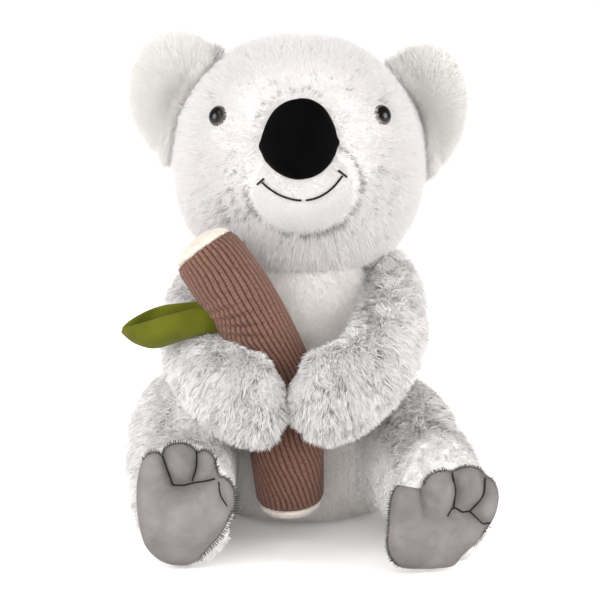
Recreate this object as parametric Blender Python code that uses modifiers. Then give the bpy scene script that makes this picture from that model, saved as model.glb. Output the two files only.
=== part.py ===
"""A seated plush koala that hugs a corduroy branch with one velvet leaf.

The koala faces -Y and sits on Z = 0, with the middle of its seat at the origin.
Left and right are the viewer's: left is -X. All lengths are in metres.
Every stuffed piece is a smooth loft through oval sections, and each smaller piece
is cut back by the larger ones that it is sewn to, with a seam gap between them.
"""

import math

import bmesh
import bpy
import numpy as np
from mathutils import Matrix, Vector

# Clearances
SEAM_GAP = 0.0004
SWEEP_GAP = 0.0014
FLOOR_CUT = 0.0005
OVERRUN = 0.02

# Torso: a pear that stands on a flat seat and ends in a round neck
TORSO_HEIGHT = 0.196
TORSO_WIDTH = 0.158
TORSO_DEPTH = 0.146
NECK_WIDTH = 0.104
NECK_FORWARD = 0.005

# Head: a wide, flat-backed ball on the neck
HEAD_BASE = 0.169
HEAD_HEIGHT = 0.164
HEAD_WIDTH = 0.173
HEAD_DEPTH = 0.150
NECK_TURN = math.radians(10)

# Muzzle patch and nose, both rolled a little on the face
FACE_ROLL = math.radians(4)
MUZZLE_WIDTH = 0.073
MUZZLE_HEIGHT = 0.062
MUZZLE_DEPTH = 0.052
MUZZLE_RISE = 0.067
MUZZLE_FORWARD = 0.069
MUZZLE_ACROSS = 0.002
NOSE_WIDTH = 0.0520
NOSE_HEIGHT = 0.0525
NOSE_DEPTH = 0.044
NOSE_RISE = 0.1005
NOSE_FORWARD = 0.081

# Mouth thread
MOUTH_THREAD = 0.0013
MOUTH_BAR = 0.0050

# Safety eyes: dome, post and lock washer
EYE_WIDTH = 0.0135
EYE_DOME = 0.0042
EYE_RIM = 0.0010
EYE_POST = 0.0042
EYE_POST_LENGTH = 0.0120
EYE_SEAT = 0.0015
WASHER_WIDTH = 0.0130
WASHER_THICKNESS = 0.0024
WASHER_DEPTH = 0.0050

# Ears: how each is turned about the upright axis and leans about the front axis,
# how far it folds either way on its seam, and how that seam slopes
EAR_HEIGHT = 0.092
EAR_WIDTH = 0.071
EAR_THICKNESS = 0.026
EAR_HOLLOW = 0.010
EAR_LEFT_TURN = math.radians(4)
EAR_RIGHT_TURN = math.radians(-34)
EAR_LEFT_LEAN = math.radians(-12)
EAR_RIGHT_LEAN = math.radians(14)
EAR_FOLD = math.radians(8)
EAR_SEAM_SLOPE = math.radians(26)

# Arms with paws, the tilt of their hinges and how far each opens
ARM_SPREAD = 0.066
ARM_REACH = 0.132
SHOULDER_HEIGHT = 0.160
ARM_THICKNESS = 0.058
SHOULDER_BACK = 0.006
ARM_AXIS_TILT = math.radians(20)
ARM_RIGHT_OPEN = math.radians(8)
ARM_LEFT_OPEN = math.radians(5)

# Legs, and how far each splays outwards
LEG_SPREAD = 0.078
LEG_REACH = 0.146
LEG_HEIGHT = 0.106
LEG_THICKNESS = 0.078
FOOT_HEIGHT = 0.083
HIP_BACK = 0.010
LEG_SPLAY = math.radians(8)

# Soles: a puffed pad with three toes and a thumb, and the threads on it.
# Each is turned about the upright axis, leans back and rolls in its own plane.
SOLE_WIDTH = 0.062
SOLE_HEIGHT = 0.078
SOLE_PUFF = 0.0090
SOLE_EDGE = 0.0016
SOLE_THREAD = 0.0012
SOLE_RIGHT_TURN = math.radians(22)
SOLE_LEFT_TURN = math.radians(-5)
SOLE_RIGHT_LEAN = math.radians(20)
SOLE_LEFT_LEAN = math.radians(6)
SOLE_RIGHT_ROLL = math.radians(33)
SOLE_LEFT_ROLL = math.radians(-3)

# Branch and its end caps
BRANCH_WIDTH = 0.0465
BRANCH_HEIGHT = 0.196
BRANCH_LEAN = 0.058
BRANCH_FORWARD = 0.094
CAP_BULGE = 0.009
CAP_REBATE = 0.0015

# Leaf, how far its wings open from upright and how far it flaps forward
LEAF_LENGTH = 0.073
LEAF_WING = 0.0235
LEAF_THICKNESS = 0.0030
LEAF_STEM = 0.010
LEAF_TUCK = 0.007
LEAF_OPEN_STEM = math.radians(18)
LEAF_OPEN_TIP = math.radians(48)
LEAF_TILT = math.radians(12)
LEAF_SINK = math.radians(6)
LEAF_RISE = 0.151
LEAF_FLAP = math.radians(8)

# Facets around a form
AROUND_TORSO = 32
AROUND_HEAD = 32
AROUND_LIMB = 18
AROUND_BALL = 22
AROUND_BRANCH = 20
AROUND_SOLE = 60
AROUND_SMALL = 16


def clear_scene():
    """Removes what the scene holds."""
    for found in list(bpy.data.objects):
        bpy.data.objects.remove(found, do_unlink=True)


def new_collection(name):
    """Adds a collection to the scene."""
    made = bpy.data.collections.new(name)
    bpy.context.scene.collection.children.link(made)
    return made


def material(name, colour, roughness, metallic=0.0):
    """One Principled material for one sub-part."""
    made = bpy.data.materials.new(name)
    made.use_nodes = True
    shader = made.node_tree.nodes["Principled BSDF"]
    shader.inputs["Base Color"].default_value = (*colour, 1)
    shader.inputs["Roughness"].default_value = roughness
    shader.inputs["Metallic"].default_value = metallic
    return made


def add_object(name, mesh, collection):
    """Links a mesh as an object, shaded smooth except at sharp edges."""
    made = bpy.data.objects.new(name, mesh)
    collection.objects.link(made)
    mesh.shade_smooth()
    mesh.set_sharp_from_angle(angle=math.radians(50))
    return made


def add_part(name, mesh, look):
    """A sub-part of the koala with its own material."""
    made = add_object(name, mesh, PARTS)
    mesh.materials.clear()
    mesh.materials.append(look)
    return made


def add_cutter(name, mesh):
    """A cutting shape that is no part of the koala."""
    made = add_object(name, mesh, CUTTERS)
    made.hide_render = True
    made.display_type = "WIRE"
    return made


def cut(piece, cutter):
    """Takes the cutter's shape out of a piece."""
    taken = piece.modifiers.new("cut by " + cutter.name, "BOOLEAN")
    taken.operation = "DIFFERENCE"
    taken.solver = "EXACT"
    taken.object = cutter


def grown(source, gap=SEAM_GAP):
    """A cutter with the shape of a form, larger by the seam gap all round."""
    mesh = source.data.copy()
    work = bmesh.new()
    work.from_mesh(mesh)
    work.normal_update()
    moves = [vertex.co + vertex.normal * gap for vertex in work.verts]
    for vertex, place in zip(work.verts, moves):
        vertex.co = place
    work.to_mesh(mesh)
    work.free()
    mesh.materials.clear()
    return add_cutter(source.name + " clearance", mesh)


def swung(cutter, hinge, angle):
    """A copy of a cutter as a piece meets it after turning by an angle on its hinge."""
    spot, axis = hinge
    mesh = cutter.data.copy()
    turn = Matrix.Translation(spot) @ Matrix.Rotation(-angle, 4, axis)
    mesh.transform(turn @ Matrix.Translation(-spot))
    return add_cutter(cutter.name + " swung", mesh)


def smooth_at(rows, share):
    """The row at a share of a table's length, on a smooth curve through all its rows."""
    last = len(rows) - 1
    place = min(max(share, 0.0), 1.0) * last
    index = min(int(place), last - 1)
    step = place - index
    before = rows[max(index - 1, 0)]
    start = rows[index]
    end = rows[index + 1]
    after = rows[min(index + 2, last)]
    linear = end - before
    square = 2 * before - 5 * start + 4 * end - after
    cube = 3 * (start - end) + after - before
    return start + (linear * step + square * step**2 + cube * step**3) / 2


# How far along a form its direction is read, as a share of its length.
nearby_share = 0.01


def section(form, share):
    """Centre, side axis, depth axis and half sizes of a form's oval at a share of its path."""
    rows, across = form
    row = smooth_at(rows, share)
    ahead = smooth_at(rows, min(share + nearby_share, 1.0))
    behind = smooth_at(rows, max(share - nearby_share, 0.0))
    tangent = Vector(ahead[:3] - behind[:3]).normalized()
    side = (across - tangent * across.dot(tangent)).normalized()
    depth = tangent.cross(side)
    return Vector(row[:3]), side, depth, row[3], row[4]


def ring_shares(steps, start_round, end_round):
    """Shares of the path where rings stand, each with the share of its full size."""
    turns = 4
    rings = []
    if start_round:
        for turn in range(turns):
            angle = math.pi / 2 * turn / turns
            rings.append((start_round * (1 - math.cos(angle)), math.sin(angle)))
    for step in range(steps + 1):
        rings.append((start_round + (1 - start_round - end_round) * step / steps, 1.0))
    if end_round:
        for turn in range(turns - 1, -1, -1):
            angle = math.pi / 2 * turn / turns
            rings.append((1 - end_round * (1 - math.cos(angle)), math.sin(angle)))
    return rings


def loft(form, steps, around, start_round=0.0, end_round=0.0):
    """A closed skin through a form's ovals, with flat or rounded ends."""
    mesh = bpy.data.meshes.new("loft")
    work = bmesh.new()
    rings = []
    for share, size in ring_shares(steps, start_round, end_round):
        centre, side, depth, half_side, half_depth = section(form, share)
        if size == 0.0:
            rings.append([work.verts.new(centre)])
            continue
        ring = []
        for index in range(around):
            angle = 2 * math.pi * index / around
            reach_side = side * (half_side * size * math.cos(angle))
            reach_depth = depth * (half_depth * size * math.sin(angle))
            ring.append(work.verts.new(centre + reach_side + reach_depth))
        rings.append(ring)
    for first, second in zip(rings, rings[1:]):
        for index in range(around):
            following = (index + 1) % around
            corners = [
                first[index % len(first)],
                first[following % len(first)],
                second[following % len(second)],
                second[index % len(second)],
            ]
            work.faces.new(list(dict.fromkeys(corners)))
    for ring in (rings[0], rings[-1]):
        if len(ring) > 1:
            work.faces.new(ring)
    bmesh.ops.recalc_face_normals(work, faces=work.faces)
    work.to_mesh(mesh)
    work.free()
    return mesh


def ball(width, depth, height, place, segments, rings):
    """A sphere stretched to three sizes, turned and moved by a matrix."""
    mesh = bpy.data.meshes.new("ball")
    work = bmesh.new()
    bmesh.ops.create_uvsphere(work, u_segments=segments, v_segments=rings, radius=0.5)
    bmesh.ops.scale(work, vec=(width, depth, height), verts=work.verts)
    bmesh.ops.transform(work, matrix=place, verts=work.verts)
    work.to_mesh(mesh)
    work.free()
    return mesh


def rod(radius, start, end, segments=AROUND_SMALL):
    """A closed cylinder between two points."""
    axis = end - start
    mesh = bpy.data.meshes.new("rod")
    work = bmesh.new()
    turn = axis.to_track_quat("Z", "Y").to_matrix().to_4x4()
    place = Matrix.Translation((start + end) / 2) @ turn
    bmesh.ops.create_cone(
        work,
        cap_ends=True,
        segments=segments,
        radius1=radius,
        radius2=radius,
        depth=axis.length,
        matrix=place,
    )
    work.to_mesh(mesh)
    work.free()
    return mesh


def block(low, high, place=Matrix.Identity(4)):
    """A box between two corners, turned and moved by a matrix."""
    mesh = bpy.data.meshes.new("block")
    work = bmesh.new()
    bmesh.ops.create_cube(work, size=1.0)
    size = high - low
    bmesh.ops.scale(work, vec=size, verts=work.verts)
    bmesh.ops.translate(work, vec=(low + high) / 2, verts=work.verts)
    bmesh.ops.transform(work, matrix=place, verts=work.verts)
    work.to_mesh(mesh)
    work.free()
    return mesh


def thread(name, points, width, look):
    """A sewn thread: a round tube with closed ends along a smooth line of points."""
    line = bpy.data.curves.new(name, "CURVE")
    line.dimensions = "3D"
    line.bevel_depth = width / 2
    line.bevel_resolution = 1
    line.use_fill_caps = True
    spline = line.splines.new("POLY")
    spline.points.add(len(points) - 1)
    for spot, point in zip(spline.points, points):
        spot.co = (*point, 1)
    drawn = bpy.data.objects.new(name + " line", line)
    PARTS.objects.link(drawn)
    graph = bpy.context.evaluated_depsgraph_get()
    mesh = bpy.data.meshes.new_from_object(drawn.evaluated_get(graph))
    work = bmesh.new()
    work.from_mesh(mesh)
    bmesh.ops.remove_doubles(work, verts=work.verts, dist=width / 100)
    bmesh.ops.recalc_face_normals(work, faces=work.faces)
    work.to_mesh(mesh)
    work.free()
    bpy.data.objects.remove(drawn, do_unlink=True)
    return add_part(name, mesh, look)


def pivot(name, place):
    """An empty on a joint's axis, which carries the pieces that turn there."""
    made = bpy.data.objects.new(name, None)
    made.location = place
    made.empty_display_size = SOLE_WIDTH / 2
    PARTS.objects.link(made)
    return made


def carry(piece, holder):
    """Hangs a piece on a pivot without moving it."""
    piece.parent = holder
    piece.matrix_parent_inverse = Matrix.Translation(-holder.location)


def table(shares, *sizes):
    """A table of shares as lengths, each column times its own size."""
    return np.array(shares, dtype=float) * np.array(sizes, dtype=float)


# Torso
# Height, width, depth and forward place of each oval, as shares of the torso's sizes.
belly_shares = (
    (0.000, 0.64, 0.64, 0.000),
    (0.035, 0.80, 0.80, 0.000),
    (0.120, 0.94, 0.95, 0.005),
    (0.240, 1.00, 1.00, 0.012),
    (0.370, 0.99, 1.00, 0.018),
    (0.500, 0.93, 0.93, 0.018),
    (0.620, 0.85, 0.83, 0.012),
)
# Height and width of the round ovals at the neck, as shares of height and neck width.
neck_shares = ((0.72, 1.13), (0.80, 1.05), (0.87, 0.97), (0.93, 0.84), (0.97, 0.66), (1.00, 0.44))


def torso_form():
    """Rows of the torso's ovals, from the seat up to the neck."""
    rows = []
    for height, width, depth, forward in belly_shares:
        rows.append(
            (
                0.0,
                -forward * TORSO_DEPTH,
                height * TORSO_HEIGHT - FLOOR_CUT,
                width * TORSO_WIDTH / 2,
                depth * TORSO_DEPTH / 2,
            )
        )
    for height, width in neck_shares:
        radius = width * NECK_WIDTH / 2
        rows.append((0.0, -NECK_FORWARD, height * TORSO_HEIGHT, radius, radius))
    return np.array(rows), Vector((1, 0, 0))


def make_torso():
    """The stuffed body, cut flat where it sits."""
    mesh = loft(torso_form(), 13, AROUND_TORSO, 0.0, 0.06)
    torso = add_part("torso", mesh, material("torso plush", (0.80, 0.78, 0.76), 0.95))
    cut(torso, FLOOR)
    return torso


# Head
# Height, width, depth and forward place of each oval, as shares of the head's sizes.
head_shares = (
    (0.00, 0.42, 0.50, 0.075),
    (0.07, 0.63, 0.68, 0.070),
    (0.155, 0.82, 0.81, 0.062),
    (0.25, 0.93, 0.92, 0.056),
    (0.37, 0.99, 0.99, 0.050),
    (0.48, 1.00, 1.00, 0.045),
    (0.60, 0.965, 0.99, 0.040),
    (0.72, 0.88, 0.94, 0.030),
    (0.83, 0.74, 0.82, 0.020),
    (0.93, 0.54, 0.62, 0.012),
    (1.00, 0.30, 0.36, 0.010),
)


def head_form():
    """Rows of the head's ovals, from under the chin up to the crown."""
    rows = []
    for height, width, depth, forward in head_shares:
        rows.append(
            (
                0.0,
                -forward * HEAD_DEPTH,
                HEAD_BASE + height * HEAD_HEIGHT,
                width * HEAD_WIDTH / 2,
                depth * HEAD_DEPTH / 2,
            )
        )
    return np.array(rows), Vector((1, 0, 0))


def head_spot(rise_share, side_share):
    """A point on the face and the skin's outward direction there."""

    def at(rise, side):
        centre, _, _, half_side, half_depth = section(head_form(), rise)
        forward = half_depth * math.sqrt(max(1 - side**2, 0))
        return centre + Vector((half_side * side, -forward, 0))

    near = nearby_share
    spot = at(rise_share, side_share)
    up = at(rise_share + near, side_share) - at(rise_share - near, side_share)
    along = at(rise_share, side_share + near) - at(rise_share, side_share - near)
    return spot, along.cross(up).normalized()


def make_head(torso_clearance):
    """The stuffed head, hollowed underneath for the neck that it turns on."""
    mesh = loft(head_form(), 13, AROUND_HEAD, 0.05, 0.06)
    head = add_part("head", mesh, material("head fur", (0.66, 0.65, 0.65), 0.95))
    cut(head, torso_clearance)
    return head


# Muzzle, nose and mouth
def face_place(across, forward, rise):
    """A place on the face, turned by the face's roll."""
    spot = Vector((across, -forward, HEAD_BASE + rise))
    return Matrix.Translation(spot) @ Matrix.Rotation(-FACE_ROLL, 4, "Y")


def make_muzzle(head_clearance):
    """The padded white patch round the mouth."""
    place = face_place(MUZZLE_ACROSS, MUZZLE_FORWARD, MUZZLE_RISE)
    mesh = ball(MUZZLE_WIDTH, MUZZLE_DEPTH, MUZZLE_HEIGHT, place, AROUND_BALL, AROUND_BALL // 2)
    muzzle = add_part("muzzle", mesh, material("muzzle plush", (0.86, 0.85, 0.84), 0.95))
    cut(muzzle, head_clearance)
    return muzzle


def make_nose(head_clearance, muzzle_clearance):
    """The black velvet nose, pointed a little where its two panels meet."""
    place = face_place(0, NOSE_FORWARD, NOSE_RISE)
    mesh = ball(NOSE_WIDTH, NOSE_DEPTH, NOSE_HEIGHT, place, AROUND_BALL, AROUND_BALL // 2)
    nose = add_part("nose", mesh, material("nose velvet", (0.02, 0.02, 0.022), 0.8))
    cut(nose, head_clearance)
    cut(nose, muzzle_clearance)
    return nose


# Half width and the two heights of the smile, as shares of the muzzle's half sizes.
mouth_half_share = 0.725
mouth_low_share = -0.29
mouth_end_share = 0.17


def muzzle_spot(side_share, rise_share, lift):
    """A point at a lift in front of the muzzle's skin."""
    place = face_place(MUZZLE_ACROSS, MUZZLE_FORWARD, MUZZLE_RISE)
    out = Vector(
        (side_share, -math.sqrt(max(1 - side_share**2 - rise_share**2, 0)), rise_share)
    )
    half = Vector((MUZZLE_WIDTH / 2, MUZZLE_DEPTH / 2, MUZZLE_HEIGHT / 2))
    skin = Vector((out.x * half.x, out.y * half.y, out.z * half.z))
    normal = Vector((out.x / half.x, out.y / half.y, out.z / half.z)).normalized()
    return place @ (skin + normal * lift)


def make_mouth():
    """The smile: one thread, hooked down at each end."""
    lift = MOUTH_THREAD / 2 + SEAM_GAP
    hook_side = MOUTH_BAR / MUZZLE_WIDTH
    hook_rise = MOUTH_BAR / MUZZLE_HEIGHT
    steps = 20
    points = []
    points.append(
        muzzle_spot(-mouth_half_share - hook_side, mouth_end_share - hook_rise, lift)
    )
    for step in range(steps + 1):
        along = 2 * step / steps - 1
        rise = mouth_low_share + (mouth_end_share - mouth_low_share) * along**2
        points.append(muzzle_spot(along * mouth_half_share, rise, lift))
    points.append(
        muzzle_spot(mouth_half_share + hook_side, mouth_end_share - hook_rise, lift)
    )
    look = material("mouth thread black", (0.02, 0.02, 0.02), 0.7)
    return thread("mouth_thread", points, MOUTH_THREAD, look)


# Eyes
# Rise on the head and place across it, as shares of the head's height and half width.
eye_rise_share = 0.672
eye_left_share = -0.705
eye_right_share = 0.735


def eye_profile():
    """Half outline of the dome and its post, from the dome's top down its outer side."""
    radius = EYE_WIDTH / 2
    turns = 6
    profile = []
    for turn in range(turns + 1):
        angle = math.pi / 2 * turn / turns
        profile.append((radius * math.sin(angle), EYE_RIM + EYE_DOME * math.cos(angle)))
    profile.append((radius, 0.0))
    profile.append((EYE_POST / 2, 0.0))
    profile.append((EYE_POST / 2, -EYE_POST_LENGTH))
    profile.append((0.0, -EYE_POST_LENGTH))
    return profile


def turned(profile, place, steps=AROUND_SMALL):
    """A closed solid turned about Z from a half outline, then moved by a matrix."""
    mesh = bpy.data.meshes.new("turned")
    work = bmesh.new()
    verts = [work.verts.new((radius, 0, height)) for radius, height in profile]
    edges = [work.edges.new(pair) for pair in zip(verts, verts[1:])]
    bmesh.ops.spin(
        work,
        geom=verts + edges,
        cent=(0, 0, 0),
        axis=(0, 0, 1),
        angle=2 * math.pi,
        steps=steps,
        use_duplicate=False,
    )
    bmesh.ops.remove_doubles(work, verts=work.verts, dist=SEAM_GAP / 100)
    bmesh.ops.recalc_face_normals(work, faces=work.faces)
    bmesh.ops.transform(work, matrix=place, verts=work.verts)
    work.to_mesh(mesh)
    work.free()
    return mesh


def make_eye(side_name, across_share, head):
    """A safety eye: dome and post outside, lock washer inside, and its hole in the head."""
    spot, normal = head_spot(eye_rise_share, across_share)
    seat = spot - normal * EYE_SEAT
    turn = normal.to_track_quat("Z", "Y").to_matrix().to_4x4()
    place = Matrix.Translation(seat + normal * SEAM_GAP) @ turn
    look = material("eye plastic " + side_name, (0.03, 0.03, 0.035), 0.08)
    eye = add_part("eye_" + side_name, turned(eye_profile(), place), look)
    well = rod(EYE_WIDTH / 2 + SEAM_GAP, seat, spot + normal * EYE_WIDTH)
    cut(head, add_cutter("eye well " + side_name, well))
    end = seat - normal * (EYE_POST_LENGTH + SEAM_GAP)
    hole = rod(EYE_POST / 2 + SEAM_GAP, end, spot)
    cut(head, add_cutter("eye hole " + side_name, hole))
    top = seat - normal * WASHER_DEPTH
    low = top - normal * WASHER_THICKNESS
    pocket = rod(WASHER_WIDTH / 2 + SEAM_GAP, low - normal * SEAM_GAP, top + normal * SEAM_GAP)
    cut(head, add_cutter("washer pocket " + side_name, pocket))
    look = material("washer plastic " + side_name, (0.75, 0.74, 0.70), 0.5)
    washer = add_part("eye_washer_" + side_name, rod(WASHER_WIDTH / 2, low, top), look)
    bore = rod(EYE_POST / 2 + SEAM_GAP, low - normal * WASHER_WIDTH, top + normal * WASHER_WIDTH)
    cut(washer, add_cutter("washer bore " + side_name, bore))
    return [eye, washer]


# Ears
# Where each ear's middle lies, as shares of the head's half width, depth and height.
ear_left_shares = (-0.915, -0.02, 0.735)
ear_right_shares = (0.965, 0.03, 0.680)


def ear_middle(shares):
    """The middle of an ear, in the head's own sizes."""
    return Vector(
        (
            shares[0] * HEAD_WIDTH / 2,
            shares[1] * HEAD_DEPTH,
            HEAD_BASE + shares[2] * HEAD_HEIGHT,
        )
    )


# Middle of an ear's seam, as shares of the head's half width, depth and height.
ear_seam_shares = (0.79, 0.0, 0.69)


def ear_hinge(side):
    """The line of an ear's seam up the side of the head, on which the ear folds."""
    across, back, rise = ear_seam_shares
    spot = ear_middle((side * across, back, rise))
    return spot, Vector((-side * math.sin(EAR_SEAM_SLOPE), 0, math.cos(EAR_SEAM_SLOPE)))


def make_ear(side_name, shares, turn, lean, head_clearance, hinge):
    """A thick round ear, a little hollow in front, sewn to the side of the head."""
    middle = ear_middle(shares)
    place = Matrix.Translation(middle)
    place = place @ Matrix.Rotation(turn, 4, "Z") @ Matrix.Rotation(lean, 4, "Y")
    mesh = ball(EAR_WIDTH, EAR_THICKNESS, EAR_HEIGHT, place, AROUND_BALL, AROUND_BALL // 2)
    hollow_shares = (0.72, 1.0, 0.72)
    look = material("ear plush " + side_name, (0.86, 0.84, 0.79), 0.95)
    ear = add_part("ear_" + side_name, mesh, look)
    front = Matrix.Translation(Vector((0, -EAR_THICKNESS, 0)))
    width, depth, height = (
        EAR_WIDTH * hollow_shares[0],
        (EAR_THICKNESS / 2 + EAR_HOLLOW) * hollow_shares[1],
        EAR_HEIGHT * hollow_shares[2],
    )
    dish = ball(width, depth, height, place @ front, AROUND_BALL, AROUND_BALL // 2)
    cut(ear, add_cutter("ear hollow " + side_name, dish))
    cut(ear, head_clearance)
    for angle in (-EAR_FOLD, EAR_FOLD):
        cut(ear, swung(head_clearance, hinge, angle))
    return ear


# Arms
# Places along an arm as shares of spread, reach and shoulder height, then the half
# height and half thickness there as shares of the arm's thickness.
arm_right_shares = (
    (0.80, 0.02, 1.12, 0.32, 0.30),
    (0.97, 0.13, 1.01, 0.41, 0.34),
    (0.97, 0.32, 0.91, 0.49, 0.40),
    (0.88, 0.56, 0.83, 0.54, 0.45),
    (0.70, 0.80, 0.755, 0.55, 0.43),
    (0.42, 0.97, 0.695, 0.59, 0.38),
    (0.18, 1.02, 0.680, 0.58, 0.35),
    (-0.11, 1.03, 0.680, 0.50, 0.31),
)
arm_left_shares = (
    (-0.76, 0.02, 1.04, 0.38, 0.38),
    (-0.96, 0.13, 0.97, 0.46, 0.46),
    (-1.01, 0.34, 0.84, 0.49, 0.48),
    (-0.93, 0.60, 0.725, 0.47, 0.45),
    (-0.72, 0.84, 0.68, 0.51, 0.41),
    (-0.47, 0.99, 0.66, 0.56, 0.37),
    (-0.30, 1.03, 0.655, 0.55, 0.34),
    (-0.13, 1.04, 0.655, 0.50, 0.31),
)
# Where each shoulder's axis stands, as shares of the arm's spread and shoulder height.
shoulder_shares = (0.93, 0.95)


def shoulder(side):
    """A point on a shoulder's axis, and the axis that opens the arm by the right-hand rule."""
    across, rise = shoulder_shares
    spot = Vector((side * across * ARM_SPREAD, SHOULDER_BACK, rise * SHOULDER_HEIGHT))
    return spot, Vector((-math.sin(ARM_AXIS_TILT), 0, side * math.cos(ARM_AXIS_TILT)))


def arm_form(shares):
    """Rows of an arm's ovals, from inside the shoulder seam to the end of the paw."""
    sizes = (ARM_SPREAD, -ARM_REACH, SHOULDER_HEIGHT, ARM_THICKNESS, ARM_THICKNESS)
    return table(shares, *sizes), Vector((0, 0, 1))


def make_arm(side_name, shares, clearances, swept):
    """A stuffed arm with its round mitten paw, clear of what it meets as it opens."""
    mesh = loft(arm_form(shares), 11, AROUND_LIMB, 0.06, 0.15)
    look = material("arm fur " + side_name, (0.62, 0.61, 0.61), 0.95)
    arm = add_part("arm_" + side_name, mesh, look)
    for clearance in clearances:
        cut(arm, clearance)
    for clearance, hinge, angle in swept:
        cut(arm, swung(clearance, hinge, angle))
    return arm


# Legs
# Places along a leg as shares of spread and reach, then the half height and the half
# thickness there as shares of the leg's height and thickness. The leg lies on the floor.
leg_right_shares = (
    (0.70, -0.02, 0.36, 0.36),
    (0.82, 0.14, 0.48, 0.46),
    (0.90, 0.34, 0.50, 0.48),
    (0.99, 0.56, 0.46, 0.46),
    (1.10, 0.78, 0.41, 0.45),
    (1.21, 1.02, 0.39, 0.45),
    (1.29, 1.24, 0.38, 0.44),
)
leg_left_shares = (
    (-0.76, -0.02, 0.38, 0.38),
    (-0.90, 0.14, 0.51, 0.49),
    (-0.98, 0.34, 0.53, 0.52),
    (-0.99, 0.56, 0.48, 0.48),
    (-0.96, 0.78, 0.42, 0.45),
    (-0.93, 1.02, 0.39, 0.43),
    (-0.91, 1.24, 0.38, 0.42),
)


def leg_form(shares):
    """Rows of a leg's ovals, from inside the hip seam to past the sole."""
    rows = []
    for across, forward, height, thickness in shares:
        half = height * LEG_HEIGHT
        rows.append(
            (
                across * LEG_SPREAD,
                -forward * LEG_REACH,
                half - FLOOR_CUT,
                half,
                thickness * LEG_THICKNESS,
            )
        )
    return np.array(rows), Vector((0, 0, 1))


# Middle of each sole as shares of the leg's spread, reach and of the foot's height.
sole_right_shares = (1.20, 1.02, 0.43)
sole_left_shares = (-0.93, 1.05, 0.50)
# Where each hip's axis stands, as a share of the torso's half width.
hip_share = 0.97


def hip(side):
    """A point on a hip's upright axis, and the axis that splays the leg outwards."""
    spot = Vector((side * hip_share * TORSO_WIDTH / 2, HIP_BACK, LEG_HEIGHT / 2))
    return spot, Vector((0, 0, side))


def sole_place(shares, turn, lean, roll):
    """The sole's frame: X across it, Z up it and -Y out of it."""
    middle = Vector(
        (shares[0] * LEG_SPREAD, -shares[1] * LEG_REACH, shares[2] * FOOT_HEIGHT)
    )
    place = Matrix.Translation(middle) @ Matrix.Rotation(turn, 4, "Z")
    return place @ Matrix.Rotation(-lean, 4, "X") @ Matrix.Rotation(roll, 4, "Y")


def make_leg(side_name, shares, place, torso_clearance, hinge):
    """A stuffed leg, cut flat on the floor and where its sole is sewn on."""
    mesh = loft(leg_form(shares), 10, AROUND_LIMB, 0.06, 0.0)
    look = material("leg fur " + side_name, (0.66, 0.65, 0.65), 0.95)
    leg = add_part("leg_" + side_name, mesh, look)
    reach = LEG_REACH
    low = Vector((-reach, -reach, -reach))
    high = Vector((reach, 0, reach))
    cut(leg, add_cutter("sole face " + side_name, block(low, high, place)))
    cut(leg, torso_clearance)
    cut(leg, swung(torso_clearance, hinge, LEG_SPLAY))
    cut(leg, FLOOR)
    return leg


# Soles
# Pad, three toes and thumb: middle across and up, half width and half height, as shares
# of the sole's width and height. They are laid out for the left sole.
sole_lobe_shares = (
    (0.00, -0.09, 0.500, 0.400),
    (-0.28, 0.26, 0.210, 0.180),
    (-0.05, 0.32, 0.210, 0.180),
    (0.19, 0.29, 0.180, 0.160),
    (0.36, 0.09, 0.160, 0.150),
)
# Ends and bends of the threads, as shares of the sole's width and height.
toe_line_shares = (
    ((-0.26, 0.415), (-0.21, 0.28), (-0.145, 0.165)),
    ((0.115, 0.425), (0.125, 0.30), (0.085, 0.175)),
)
toe_base_shares = ((-0.145, 0.165), (-0.03, 0.150), (0.085, 0.175), (0.29, 0.210))
thumb_line_shares = ((0.335, 0.175), (0.37, 0.07), (0.415, -0.02))
# How near a thread comes to the sole's edge, as a share of the way out.
thread_reach_share = 0.95


def sole_radius(angle):
    """Distance from the sole's middle to its outline in a direction."""
    heading = (math.cos(angle), math.sin(angle))
    furthest = 0.0
    for across, rise, half_width, half_height in sole_lobe_shares:
        middle = (across * SOLE_WIDTH, rise * SOLE_HEIGHT)
        size = (half_width * SOLE_WIDTH, half_height * SOLE_HEIGHT)
        square = sum((heading[k] / size[k]) ** 2 for k in range(2))
        linear = sum(heading[k] * middle[k] / size[k] ** 2 for k in range(2))
        rest = sum((middle[k] / size[k]) ** 2 for k in range(2)) - 1
        inside = linear**2 - square * rest
        if inside > 0:
            furthest = max(furthest, (linear + math.sqrt(inside)) / square)
    return furthest


def sole_puff(share):
    """Height of the sole's puffed face at a share of its radius."""
    return SOLE_EDGE + (SOLE_PUFF - SOLE_EDGE) * math.sqrt(max(1 - share**3, 0))


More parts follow.
